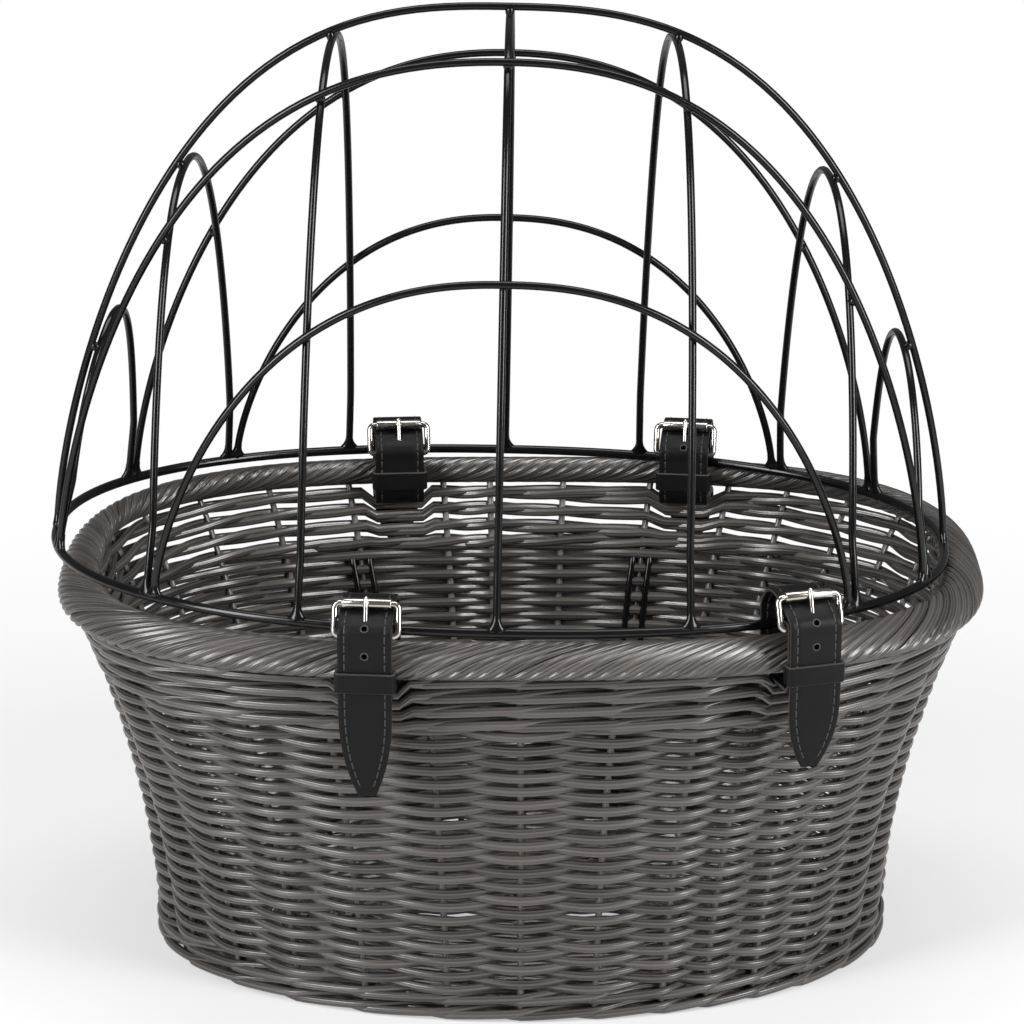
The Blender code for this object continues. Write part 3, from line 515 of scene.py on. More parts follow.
# %% Border strands
LAY_STRANDS, LAY_TURNS, LAY_SIZE = 13, 12, 3.7 * MM
lean_cos, lean_sin = math.cos(BORDER_LEAN), math.sin(BORDER_LEAN)
section_turn = np.linspace(0, 2 * np.pi, 721)
section = np.stack([np.cos(section_turn) * (HALF_WIDE - LAY_SIZE / 2),
                    np.sin(section_turn) * (HALF_THICK - LAY_SIZE / 2)], -1)
section_run = np.concatenate([[0], np.cumsum(np.linalg.norm(np.diff(section, axis=0), axis=1))])
section_run /= section_run[-1]
print("border lay in mm", round(LOOP / LAY_TURNS / MM, 1))

border = Bundle("border_strands")
runs = np.linspace(0, LOOP, 720, endpoint=False)
centre, outward = on_wall(runs, BORDER_Z + BACK_RISE * backness(runs), RIM)
broad = outward * lean_cos - UP * lean_sin  # the section's two axes
thick = outward * lean_sin + UP * lean_cos
for strand in range(LAY_STRANDS):
    share = strand / LAY_STRANDS + LAY_TURNS * runs / LOOP + wobble(runs, 0.004, 12)
    turn = np.interp(np.mod(share, 1), section_run, section_turn)
    out = np.cos(turn) * (HALF_WIDE - LAY_SIZE / 2)
    rise = np.sin(turn) * (HALF_THICK - LAY_SIZE / 2)
    path = centre + broad * out[:, None] + thick * rise[:, None]
    normal = unit(broad * (np.cos(turn) / HALF_WIDE)[:, None]
                  + thick * (np.sin(turn) / HALF_THICK)[:, None])
    forward = unit(np.roll(path, -1, axis=0) - np.roll(path, 1, axis=0))
    border.tube(path, normal, np.cross(forward, normal), LAY_SIZE / 2, LAY_SIZE / 2 * 1.05,
                closed=True, start=strand * 1.7)
border.build(rattan, "grey_polyrattan", "border_roll")

core = Bundle("border_core")
core.tube(centre[::6], broad[::6], thick[::6], HALF_WIDE - 3 * MM, HALF_THICK - 3 * MM,
          closed=True, tone=0.0)
core.build(rattan, "grey_polyrattan")

# %% [markdown]
# ## The base
# The bottom is woven too: oval rows round a central spine, over and under spokes that carry on
# from the stakes. It shows from above through the dome, and from below, so it isn't a flat plate
# with a pattern. Each row is the foot's oval, drawn a step smaller.

# %% Base strands
BASE_Z = 3.1 * MM
base = Bundle("base_strands")
BASE_ROWS, BASE_PITCH = 30, 3.62 * MM
runs, numbers = round_loop(6)
for row in range(BASE_ROWS):
    shrink = 9.5 * MM + row * BASE_PITCH
    shape = (FOOT[0] - shrink, FOOT[1] - shrink, FOOT[2])
    sparse = 1 if row < 12 else 2
    swing = np.cos(np.pi * (numbers / sparse + row)) * 0.7 * MM
    here = np.column_stack([round_oval(runs, shape), BASE_Z + swing])
    ahead = np.roll(here, -1, axis=0) - np.roll(here, 1, axis=0)
    side = unit(np.stack([ahead[:, 1], -ahead[:, 0], np.zeros(len(runs))], -1))
    base.tube(here, side, np.broadcast_to(UP, here.shape), 1.95 * MM, 1.5 * MM, closed=True,
              sides=6, start=row * 0.7)
for k, run in enumerate(stake_runs):
    reach = np.linspace(5 * MM, 112 * MM if k % 2 == 0 else 52 * MM, 24)
    spoke = np.concatenate([round_oval(np.array([run]), (FOOT[0] - r, FOOT[1] - r, FOOT[2]))
                            for r in reach])
    spoke = np.column_stack([spoke, np.full(24, BASE_Z)])
    forward = unit(np.gradient(spoke, axis=0))
    side = np.stack([forward[:, 1], -forward[:, 0], np.zeros(24)], -1)
    base.tube(spoke, side, np.broadcast_to(UP, spoke.shape), 1.7 * MM, 1.0 * MM, sides=6)
base.build(rattan, "grey_polyrattan", "base_weave")

# %% [markdown]
# ## Round rods
# Rods and wires bend in every direction, so their section is carried along the path without
# twisting. The same helper makes the hangers, the dome and the buckles.

# %% A rod along any path
def rod(bundle, path, radius, closed=False, sides=12, first=(0.0, 0.0, 1.0), tone=None,
        rounded=False):
    path = np.array([tuple(p) for p in path], float)
    if rounded and not closed:  # the ends close in a dome
        lead, tail = unit(path[0] - path[1]), unit(path[-1] - path[-2])
        bulge = [(0.0, 1.0), (0.5, 0.86), (0.86, 0.5), (1.0, 0.02)]
        path = np.concatenate([[path[0] + lead * radius * (a - 1) for a, _ in bulge[::-1]],
                               path[1:-1],
                               [path[-1] + tail * radius * (a - 1) for a, _ in bulge]])
        size = np.full(len(path), radius)
        size[:4] = [radius * b for _, b in bulge[::-1]]
        size[-4:] = [radius * b for _, b in bulge]
    else:
        size = np.full(len(path), radius)
    if closed:
        forward = unit(np.roll(path, -1, axis=0) - np.roll(path, 1, axis=0))
    else:
        forward = unit(np.gradient(path, axis=0))
    side = [unit(np.cross(forward[0], np.array(first) + 1e-4))]
    for ahead in forward[1:]:
        side.append(unit(side[-1] - ahead * np.dot(side[-1], ahead)))
    side = np.array(side)
    bundle.tube(path, side, np.cross(forward, side), size, size, closed, sides, tone)

def smooth(points, count, closed=False):
    """A curve through given points, evenly sampled."""
    pts = np.array([tuple(p) for p in points], float)
    ends = (np.concatenate([pts[-1:], pts, pts[:2]]) if closed
            else np.concatenate([[2 * pts[0] - pts[1]], pts, [2 * pts[-1] - pts[-2]]]))
    fine = []
    for a, b, c, d in zip(ends, ends[1:], ends[2:], ends[3:]):
        for k in range(16):
            t = k / 16
            fine.append(0.5 * (2 * b + (c - a) * t + (2 * a - 5 * b + 4 * c - d) * t * t
                               + (3 * b - a - 3 * c + d) * t ** 3))
    fine.append(pts[0] if closed else pts[-1])
    fine = np.array(fine)
    runs = np.concatenate([[0], np.cumsum(np.linalg.norm(np.diff(fine, axis=0), axis=1))])
    even = np.linspace(0, runs[-1], count + 1)[:count if closed else count + 1]
    return np.stack([np.interp(even, runs, fine[:, k]) for k in range(3)], -1)

def frame_at(run, z, shape=None, inset=0.0):
    """A 4x4 frame on the wall: X along it, Y outward, Z up."""
    here, outward = on_wall(np.array([run]), np.array([z]), shape)
    out = Vector(outward[0])
    made = Matrix((Vector((-out.y, out.x, 0)), out, Vector((0, 0, 1)))).transposed().to_4x4()
    made.translation = Vector(here[0]) - out * inset
    return made

# %% [markdown]
# ## Hangers
# Two hairpins of steel rod run down beside back stakes, inside the weave, and come out through the
# wall as hooks for the handlebar. Half a hairpin is drawn on the wall's own axes and mirrored, so
# both legs stay alike wherever the stake stands.

# %% Hanger rods
HANGERS = {"hanger_left": ("back_left", 2), "hanger_right": ("back_right", 1)}
ROD, EXIT_Z = 3.5 * MM, 145.5 * MM
LEG = STAKE_SIZE / 2 + 0.9 * MM + ROD / 2

for name, (quarter, index) in HANGERS.items():
    run = run_at(quarter, STAKE_SHARES[quarter][index])
    at = frame_at(run, EXIT_Z)
    inset, bend, reach, drop, over = 8.4 * MM, 2.6 * MM, 38 * MM, 34 * MM, 17 * MM
    half = [(LEG, bend * (1 - math.cos(a)) - inset, bend * (math.sin(a) - 1))
            for a in np.radians([0, 22.5, 45, 67.5, 90])]
    half += [(LEG, reach - over * (1 - math.sin(a)), -over * (1 - math.cos(a)))
             for a in np.radians([0, 15, 30, 45, 60, 75, 90])]
    half += [(LEG * math.cos(a), reach, LEG * (1 - math.sin(a)) - drop)
             for a in np.radians([0, 22.5, 45, 67.5, 90])]
    loop = half + [(-x, y, z) for x, y, z in half[-2::-1]]
    points = [at @ Vector(p) for p in loop]
    heights = np.linspace(60 * MM, EXIT_Z - bend, 9)[:-1]
    legs = [[frame_at(run, z, inset=inset) @ Vector((x, 0, 0)) for z in heights]
            for x in (LEG, -LEG)]
    rods = Bundle(name + "_rod")
    rod(rods, smooth(legs[0] + points + legs[1][::-1], 150), ROD / 2, rounded=True)
    rods.build(coated, "black_coated_wire", name)

# %% [markdown]
# ## The wire dome
# A ring lies on the rim, five arches stand along the dome and seven hoops across it. All of them
# lie on one half of a superellipsoid. The hoops pass just under the arches, and each crossing and
# each foot has a weld under the black coat.

# %% The dome's surface
RING = (210 * MM, 141.6 * MM, 2.2)
DOME_HEIGHT, RING_ROD, WIRE_ROD = 254 * MM, 4.5 * MM, 3.6 * MM
FULLNESS, STEEPNESS = 2.746, 1.533
RING_Z = 197.65 * MM
dome_frame = Matrix.Translation((-9.5 * MM, 0, RING_Z)) @ Matrix.Rotation(math.radians(1.2), 4, "Y")
ARCHES = {"front_upper": (-0.246, -0.407, -0.404), "front_lower": (-0.705, -0.696, -0.801),
          "back_upper": (0.556, 0.551, 0.578), "back_lower": (0.808, 0.798, 0.861)}
HOOP_TOPS = (-0.893, -0.725, -0.397, -0.003, 0.369, 0.726, 0.903)
HOOP_FEET = ("upper", "lower", None, None, None, "lower", "upper")
FREE_FEET = ((-0.430, -0.366), (-0.006, 0.009), (0.407, 0.330))

print("dome above the ring in mm", round(DOME_HEIGHT / MM))

def ring_other(value, half_known, half_wanted):
    """The ring's other coordinate where one is known."""
    return half_wanted * (1 - (abs(value) / half_known) ** RING[2]) ** (1 / RING[2])

def ring_at(angle):
    c, s = math.cos(angle), math.sin(angle)
    scale = (abs(c) ** RING[2] + abs(s) ** RING[2]) ** (-1 / RING[2])
    return c * scale * RING[0], s * scale * RING[1]

def ring_step(x, y, distance):
    """The ring's point at a distance along it, counter-clockwise if positive."""
    angle, gone = math.atan2(y / RING[1], x / RING[0]), 0.0
    before = ring_at(angle)
    while gone < abs(distance):
        angle += math.copysign(1 / 4000, distance)
        after = ring_at(angle)
        gone += math.dist(before, after)
        before = after
    return before

def arch_plan(left_y, right_y, top_y, apart):
    feet = [ring_step(ring_other(y, RING[1], RING[0]), y, math.copysign(apart, y))
            for y in (left_y, right_y)]

    def plan(t):
        c = np.cos(t)
        x = np.where(c > 0, feet[1][0], feet[0][0])
        y = np.where(c > 0, feet[1][1], feet[0][1])
        return x * c, top_y + (y - top_y) * c ** 2

    return plan

def hoop_plan(front_x, top_x, back_x, apart):
    side = math.copysign(1, top_x)
    fx, fy = ring_step(front_x, -ring_other(front_x, RING[0], RING[1]), side * apart)
    bx, by = ring_step(back_x, ring_other(back_x, RING[0], RING[1]), -side * apart)
    bow = top_x - (fx + bx) / 2

    def plan(t):
        share = (1 + np.cos(t)) / 2
        return (fx * share + bx * (1 - share) + bow * np.sin(t) ** 2, fy * share + by * (1 - share))

    return plan

def dome_path(plan, under, count=110):
    """A wire on the dome, its feet straight down on the ring."""
    foot = RING_ROD / 2 - 0.6 * MM
    x, y = plan(np.linspace(0, math.pi, 801)[1:-1])
    reach = ((np.abs(x) / RING[0]) ** RING[2] + (np.abs(y) / RING[1]) ** RING[2]) ** (1 / RING[2])
    z = DOME_HEIGHT * np.maximum(0, 1 - reach ** FULLNESS) ** (1 / STEEPNESS)
    ring = FULLNESS * np.maximum(reach, 0.001) ** (FULLNESS - RING[2])
    inward = -unit(np.stack([ring * np.sign(x) * np.abs(x) ** (RING[2] - 1) / RING[0] ** RING[2],
                             ring * np.sign(y) * np.abs(y) ** (RING[2] - 1) / RING[1] ** RING[2],
                             STEEPNESS * z ** (STEEPNESS - 1) / DOME_HEIGHT ** STEEPNESS], -1))
    sunk = 4.1 * MM * under * np.minimum(1, z * 8 / DOME_HEIGHT)
    path = np.stack([x, y, z], -1) + inward * sunk[:, None]
    path = path[path[:, 2] > RING_ROD / 2 + 0.3 * MM]
    ends = [np.array([*plan(np.array(t)), foot]) for t in (0.0, math.pi)]
    path = np.concatenate([[ends[0]], path, [ends[1]]])
    runs = np.concatenate([[0], np.cumsum(np.linalg.norm(np.diff(path, axis=0), axis=1))])
    even = np.linspace(0, runs[-1], count)
    return np.stack([np.interp(even, runs, path[:, k]) for k in range(3)], -1)

def to_row(path, matrix):
    m = np.array(matrix)
    return path @ m[:3, :3].T + m[:3, 3]

# %% [markdown]
# Each wire could be bent by hand along measured points, but then crossings would miss one another.
# Here each is a curve seen from above, lifted to the dome's surface. The hoops run one wire's
# thickness under the arches, as in the welded cage, and an arch and a hoop that share a foot
# stand side by side.

# %% Arches, hoops and the ring
half_foot = 2.3 * MM
dome_paths = {"cage_spine_arch": dome_path(arch_plan(0, 0, 0, 0), 0)}
for name, shares in ARCHES.items():
    dome_paths["cage_arch_" + name] = dome_path(
        arch_plan(*(share * RING[1] for share in shares), half_foot), 0)
free = iter(FREE_FEET)
for number, (top, beside) in enumerate(zip(HOOP_TOPS, HOOP_FEET), 1):
    if beside is None:
        front_x, back_x = (share * RING[0] for share in next(free))
        apart = 0
    else:
        front_x, back_x = (math.copysign(ring_other(
            ARCHES[f"{face}_{beside}"][0 if top < 0 else 1] * RING[1], RING[1], RING[0]), top)
            for face in ("front", "back"))
        apart = half_foot
    dome_paths[f"cage_hoop_{number}"] = dome_path(
        hoop_plan(front_x, top * RING[0], back_x, apart), 1)

for name, path in dome_paths.items():
    wires = Bundle(name + "_wire")
    rod(wires, to_row(path, dome_frame), WIRE_ROD / 2, first=(0.3, 0.9, 0.1))
    wires.build(coated, "black_coated_wire", name, "dome")

ring_path = np.array([(*ring_at(a), 0) for a in np.linspace(0, 2 * np.pi, 220, endpoint=False)])
wires = Bundle("ring_rod")
rod(wires, to_row(ring_path, dome_frame), RING_ROD / 2, closed=True)
wires.build(coated, "black_coated_wire", "cage_ring", "dome")

# %% [markdown]
# A weld at a foot spreads along the ring like a fish tail: wide on the ring, then in a hollow
# curve up to the wire. At a crossing it is a small bead between the two wires.

# %% Welds
welds = Bundle("dome_welds")
dome_turn = dome_frame.to_3x3().to_4x4()
for name, path in dome_paths.items():
    for end, step in ((0, 1), (-1, -1)):
        foot_at, above = path[end], path[end + 4 * step]
        x, y = foot_at[:2]
        angle = math.atan2(y / RING[1], x / RING[0])
        tangent = np.subtract(ring_at(angle + 0.01), ring_at(angle - 0.01))
        tangent = unit(np.array([*tangent, 0]))
        rise = unit(above - foot_at)
        across = unit(np.cross(tangent, rise))
        heights = np.array([-1.9, -0.6, 0.4, 1.4, 2.6, 4.0, 5.6]) * MM
        flare = np.clip(1 - (heights + 0.6 * MM) / (6.2 * MM), 0, 1) ** 2.4
        spine = foot_at + np.array([0, 0, 0.8 * MM]) + rise * heights[:, None]
        wide = WIRE_ROD / 2 * 1.0 + 2.9 * MM * flare
        wide[0] = 3.4 * MM
        deep = WIRE_ROD / 2 * 1.02 + 0.35 * MM * flare
        n = len(heights)
        welds.tube(to_row(spine, dome_frame), to_row(np.tile(tangent, (n, 1)), dome_turn),
                   to_row(np.tile(across, (n, 1)), dome_turn), wide, deep, sides=12)
arches = [n for n in dome_paths if "arch" in n]
hoops = [n for n in dome_paths if "hoop" in n]
beads = 0
for a in arches:
    for h in hoops:
        apart = np.linalg.norm(dome_paths[a][:, None] - dome_paths[h][None], axis=-1)
        i, j = np.unravel_index(np.argmin(apart), apart.shape)
        fine_a = smooth(dome_paths[a][max(0, i - 2):i + 3], 40)
        fine_h = smooth(dome_paths[h][max(0, j - 2):j + 3], 40)
        apart = np.linalg.norm(fine_a[:, None] - fine_h[None], axis=-1)
        i, j = np.unravel_index(np.argmin(apart), apart.shape)
        middle = (fine_a[i] + fine_h[j]) / 2
        if apart[i, j] > 5.5 * MM or middle[2] < 20 * MM:
            continue
        beads += 1
        axis = unit(fine_a[i] - fine_h[j])
        turn = np.linspace(-1, 1, 7)
        spine = middle + axis * (turn * 2.6 * MM)[:, None]
        size = 2.25 * MM * np.sqrt(np.maximum(1.001 - turn ** 2, 0.0)) ** 0.8
        rod_side = unit(np.cross(axis, fine_a[min(i + 1, 40)] - fine_a[max(i - 1, 0)] + 1e-7))
        welds.tube(to_row(spine, dome_frame), np.tile(rod_side, (7, 1)),
                   np.tile(np.cross(axis, rod_side), (7, 1)), size, size, sides=10)
welds.build(coated, "black_coated_wire", body="dome")
print("crossings with a bead", beads)

# %% [markdown]
# ## Belts
# Each belt is a folded strip of black leather. It folds round the buckle's heel bar, goes down
# outside the border, under it, up the other side, over the dome's ring, and comes out under the
# roller with its holes and its stitched, tapered tip. The strip's section is drawn with worn,
# rounded edges and a pressed line where the thread lies.

# %% The belt's route
BELT, THICK, TIP = 24 * MM, 2.2 * MM, 8 * MM
LEAN, PITCH, ROLLER = math.radians(19.5), 14.2 * MM, 4.8 * MM
BUCKLE_ROD, PRONG_ROD = 3 * MM, 2.2 * MM
NEAR = 14.6 * MM  # from the border's middle to the belt's inner face on the buckle's side
BELTS = {  # sizes in mm, from the border's middle
    "front_left": dict(quarter="front_left", after=0, outward=True, far=14.9, keeper=-9,
                       turn=-12.9, hang=-59.5, tuck=False, holes=(20, 7.5)),
    "front_right": dict(quarter="front_right", after=2, outward=True, far=17.6, keeper=-9,
                        turn=-12.9, hang=-50, tuck=False, holes=(19, 8)),
    "back_left": dict(quarter="back_left", after=1, outward=False, far=14.9, keeper=-1.5,
                      turn=-6.6, hang=-40, tuck=True, holes=()),
    "back_right": dict(quarter="back_right", after=1, outward=False, far=14.9, keeper=-1.5,
                       turn=-6.6, hang=-40, tuck=True, holes=(20,))}
wrap = BUCKLE_ROD / 2 + 0.3 * MM + THICK / 2

under = NEAR + THICK / 2
over = under + THICK + 0.5 * MM
heel = Vector((0, under - wrap, 15.5 * MM))
roller_at = heel + Vector((0, -math.sin(LEAN), math.cos(LEAN))) * PITCH
print("roller above the border in mm", round(roller_at.z / MM, 1))

def belt_route(spec):
    """The leather's middle line: its fold round the heel bar, then the rest to its tip."""
    turn, hang = spec["turn"] * MM, spec["hang"] * MM
    far = spec["far"] * MM + THICK / 2
    fold = [(0, heel.y + wrap * math.cos(a), heel.z + wrap * math.sin(a))
            for a in np.linspace(math.radians(200), 0, 22)]
    bend = THICK * 1.5
    cut = bend * (1 - math.sqrt(0.5))
    points = [(0, under, heel.z), (0, under, heel.z / 2), (0, under, turn + 2 * bend),
              (0, under, turn + bend), (0, under - cut, turn + cut), (0, under - bend, turn),
              (0, under - 2 * bend, turn), (0, 0, turn), (0, 2 * bend - far, turn),
              (0, bend - far, turn), (0, cut - far, turn + cut), (0, -far, turn + bend),
              (0, -far, turn + 2 * bend), (0, -far, heel.z / 2)]
    off = ROLLER / 2 + 0.6 * MM + THICK / 2
    dive = math.radians(40)
    below = roller_at - Vector((0, math.sin(dive), math.cos(dive))) * off
    points += [(0, -0.98 * far, heel.z + 0.2 * PITCH), (0, -0.66 * far, below.z),
               (0, -0.24 * far, below.z + 0.15 * PITCH), tuple(below),
               (0, (below.y + over) / 2, (below.z + heel.z) / 2 + 0.17 * PITCH),
               (0, over - 0.03 * far, heel.z + 0.26 * PITCH),
               (0, over, heel.z - 0.15 * PITCH), (0, over, heel.z / 3)]
    if not spec["tuck"]:
        points += [(0, over, 0), (0, over, turn), (0, over - 0.10 * far, (turn + hang) / 2),
                   (0, over - 0.30 * far, hang)]
    else:
        low, corner = turn - THICK - 0.5 * MM, THICK * 2
        points += [(0, over, low + 2.2 * corner), (0, over - corner * 0.15, low + 0.9 * corner),
                   (0, over - corner * 0.8, low + 0.12 * corner), (0, over - 1.9 * corner, low),
                   (0, 0, low), (0, 1.2 * corner - far, low),
                   (0, -far - 0.1 * corner, low - 0.5 * corner),
                   (0, -far - 0.6 * corner, low - 1.6 * corner), (0, -far - 0.7 * corner, hang)]
    return np.concatenate([np.array(fold), smooth(points, 190)[1:]])

def belt_halves(route, spec):
    """Half the belt's width all along, narrowing over the hanging tip."""
    start, hang = spec["turn"] * MM - THICK * 2, spec["hang"] * MM
    late = np.arange(len(route)) > len(route) * 0.8
    fall = np.where(late, np.clip((start - route[:, 2]) / (start - hang), 0, 1), 0)
    return (BELT + (TIP - BELT) * fall ** 2.3) / 2

# %% [markdown]
# The belt could be a flat plane made thicker by a modifier, but its edge would be a sharp box. Here
# a section with worn corners is drawn once, by how far each point lies from the edge and from the
# middle of the leather, and is carried along the route. So the cut edge can have its own finish.

# %% Leather strip with a drawn section
SECTION = [(0.0, 0.30), (0.10, 0.42), (0.45, 0.50), (1.6, 0.50), (2.6, 0.50), (3.0, 0.44),
           (3.4, 0.50), (5.5, 0.52)]

print("points round the strip", 4 * len(SECTION))

def leather_object(name, shape, body, node, place):
    """The piece that a bmesh describes; material 1 is its cut edge."""
    bmesh.ops.recalc_face_normals(shape, faces=shape.faces)
    mesh = bpy.data.meshes.new(name)
    shape.to_mesh(mesh)
    shape.free()
    mesh.shade_smooth()
    mesh.set_sharp_from_angle(angle=math.radians(50))
    for finish in (leather, cut_edge):
        mesh.materials.append(finish)
    made = bpy.data.objects.new(name, mesh)
    bpy.context.collection.objects.link(made)
    made.matrix_world = place
    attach(made, body)
    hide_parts(node)

def faces_of(route):
    """The direction across the leather at each point of its route."""
    forward = unit(np.gradient(route, axis=0))
    return np.stack([np.zeros(len(route)), forward[:, 2], -forward[:, 1]], -1)

def strip(route, halves):
    """A swept strip; the rims of its section take the cut-edge finish."""
    out = faces_of(route)
    right = np.array([1.0, 0.0, 0.0])
    columns = []
    for sign, face in ((1, 1), (-1, 1), (-1, -1), (1, -1)):
        row = SECTION if (sign, face) in ((1, 1), (-1, -1)) else SECTION[::-1]
        columns += [(sign, face, inset * MM, high) for inset, high in row]
    rings = []
    for sign, face, inset, high in columns:
        x = sign * np.maximum(halves - inset, 0.1 * MM)
        rings.append(route + right * x[:, None] + out * (face * high * THICK))
    rings = np.stack(rings, 1)
    n, m = rings.shape[:2]
    shape = bmesh.new()
    verts = [[shape.verts.new(p) for p in ring] for ring in rings]
    edge_between = {(m - 1, 0), (len(SECTION) * 2 - 1, len(SECTION) * 2)}
    for i in range(n - 1):
        for j in range(m):
            k = (j + 1) % m
            face = shape.faces.new((verts[i][j], verts[i][k], verts[i + 1][k], verts[i + 1][j]))
            face.material_index = 1 if (j, k) in edge_between else 0
    for row in (verts[0][::-1], verts[-1]):
        shape.faces.new(row).material_index = 1
    return shape

# %% [markdown]
# Two rows of lockstitch hold the belt's plies. Each stitch is a short thread that lies in the
# pressed line, 3 mm in from the edge, and dives at both ends. The rows follow the taper and meet
# across the tip.

# %% Stitches and holes
STITCH, STITCH_PITCH, FROM_EDGE = 3.3 * MM, 4.3 * MM, 3.0 * MM
HOLE, HOLE_RIM = 1.45 * MM, 1.6 * MM
print("stitches per 100 mm", round(100 * MM / STITCH_PITCH))

def stitch(bundle, start, end, normal):
    share = np.linspace(0, 1, 7)
    lift = np.sin(np.pi * share) ** 0.5 * 0.34 * MM - 0.16 * MM
    path = start + (end - start) * share[:, None] + normal * lift[:, None]
    forward = unit(end - start)
    side = np.tile(unit(np.cross(forward, normal)), (7, 1))
    bundle.tube(path, side, np.tile(normal, (7, 1)), 0.36 * MM, 0.27 * MM, sides=6)

def stitch_rows(bundle, route, halves, skip):
    out = faces_of(route)
    runs = np.concatenate([[0], np.cumsum(np.linalg.norm(np.diff(route, axis=0), axis=1))])

    def at(run, sign, face):
        p = np.array([np.interp(run, runs, route[:, k]) for k in range(3)])
        normal = unit(np.array([np.interp(run, runs, out[:, k]) for k in range(3)])) * face
        half = np.interp(run, runs, halves)
        return p + np.array([sign * (half - FROM_EDGE), 0, 0]) + normal * (0.48 * THICK), normal

    run = skip
    while run < runs[-1] - 4.2 * MM:  # the tip's last stitch is whole
        for sign in (1, -1):
            for face in (1, -1):
                first, normal = at(run, sign, face)
                last, _ = at(run + STITCH, sign, face)
                stitch(bundle, first, last, normal)
        run += STITCH_PITCH
    return runs, out

def punched_hole(bundle, rims, point, normal):
    """A hole's mouth, a dark disc of painted shade, and the pressed ring round it, its cut-edge
    colour partly a painted highlight.
    """
    ring = np.linspace(0, 2 * np.pi, 20, endpoint=False)
    side = np.array([1.0, 0, 0])
    up = np.cross(normal, side)
    centre = point + normal * (THICK / 2)
    radial = side * np.cos(ring)[:, None] + up * np.sin(ring)[:, None]
    circle = centre + radial * HOLE_RIM
    # The ring's lighter colour is partly the hole's real cut edge and partly a painted highlight.
    rims.tube(circle, radial, np.tile(normal, (20, 1)), 0.34 * MM, 0.24 * MM, closed=True, sides=8)
    # The mouth is a near-black disc on the leather: painted shade.
    depth = np.array([-0.3, 0.12, 0.14]) * MM
    mouth = np.array([HOLE, HOLE, 0.01 * MM])
    bundle.tube(centre + normal * depth[:, None], np.tile(side, (3, 1)), np.tile(up, (3, 1)),
                mouth, mouth, sides=16)

# %% [markdown]
# ## Buckles
# The buckle is a rectangle of plated wire. A rolled sheet sleeve turns on its upper bar, and a
# prong hooks round the heel bar and rests on the sleeve. The keeper is a leather band that holds
# the tongue down.

# %% Buckle pieces
def rounded_rectangle(x, y, r, per_corner, on_sides=()):
    """Points round a rectangle with half sides x and y, and more at shares of each side."""
    points = []
    for cx, cy, first in ((x - r, y - r, 0), (r - x, y - r, 90), (r - x, r - y, 180),
                          (x - r, r - y, 270)):
        points += [(cx + r * math.cos(a), cy + r * math.sin(a))
                   for a in np.radians(np.linspace(first, first + 90, per_corner))]
        span = 2 * (x - r) if first in (0, 180) else 2 * (y - r)
        ahead = math.radians(first + 180)
        px, py = points[-1]
        points += [(px + span * t * math.cos(ahead), py + span * t * math.sin(ahead))
                   for t in on_sides]
    return points

BUCKLE_HALF = BELT / 2 + 0.8 * MM + BUCKLE_ROD / 2
BUCKLE_CORNER, PLAY = 2.4 * MM, 0.3 * MM
print("buckle in mm", round(2 * BUCKLE_HALF / MM, 1), "by", round(PITCH / MM, 1))

def buckle(name, place):
    swing = place @ Matrix.Translation(heel) @ Matrix.Rotation(LEAN, 4, "X")
    points = [Vector((px, 0, PITCH / 2 + pz)) for px, pz in rounded_rectangle(
        BUCKLE_HALF, PITCH / 2, BUCKLE_CORNER, 7, (0.25, 0.5, 0.75))]
    frame_wire = Bundle("buckle_wire_" + name)
    rod(frame_wire, [swing @ p for p in points], BUCKLE_ROD / 2, closed=True, sides=14,
        first=(0.1, 0.9, 0.2))
    frame_wire.build(nickel, "nickel_plate", "buckle_frame_" + name, "frame_" + name)

    sleeve = Bundle("buckle_sleeve_" + name)
    length = BELT - 2 * MM
    x = np.array([-0.5, -0.5, -0.485, 0.485, 0.5, 0.5]) * length
    size = np.array([1.62, 2.25, 2.4, 2.4, 2.25, 1.62]) * MM
    m = swing @ Matrix.Translation((0, 0, PITCH))
    path = np.array([tuple(m @ Vector((v, 0, 0))) for v in x])
    ay, az = np.array(m.col[1][:3]), np.array(m.col[2][:3])
    sleeve.tube(path, np.tile(ay, (6, 1)), np.tile(az, (6, 1)), size, size, sides=28)
    seam = np.array([tuple(m @ Vector((v, -2.42 * MM, 0.4 * MM)))
                     for v in np.linspace(-0.49, 0.49, 8) * length])
    sleeve.tube(seam, np.tile(ay, (8, 1)), np.tile(az, (8, 1)), 0.12 * MM, 0.16 * MM, sides=6)
    sleeve.build(nickel, "nickel_plate", "buckle_roller_" + name, "roller_" + name)

    start = Vector((0, BUCKLE_ROD / 2 + PLAY + PRONG_ROD / 2, 0))
    end = Vector((0, ROLLER / 2 + PLAY + PRONG_ROD / 2, PITCH))
    end += (end - start).normalized() * 3.2 * MM
    eye = [Vector((0, start.y * math.sin(math.radians(d)), start.y * math.cos(math.radians(d))))
           for d in np.linspace(330, 110, 14)]
    run = [start + (end - start) * t for t in np.linspace(0, 1, 9)]
    run = [p + Vector((0, -0.5 * MM * max(0, t - 0.8) / 0.2, 0))
           for p, t in zip(run, np.linspace(0, 1, 9))]
    prong = Bundle("buckle_tongue_" + name)
    rod(prong, smooth([swing @ p for p in (*eye, *run)], 60), PRONG_ROD / 2, sides=12,
        first=(0.9, 0.1, 0.2), rounded=True)
    prong.build(nickel, "nickel_plate", "buckle_prong_" + name, "prong_" + name)

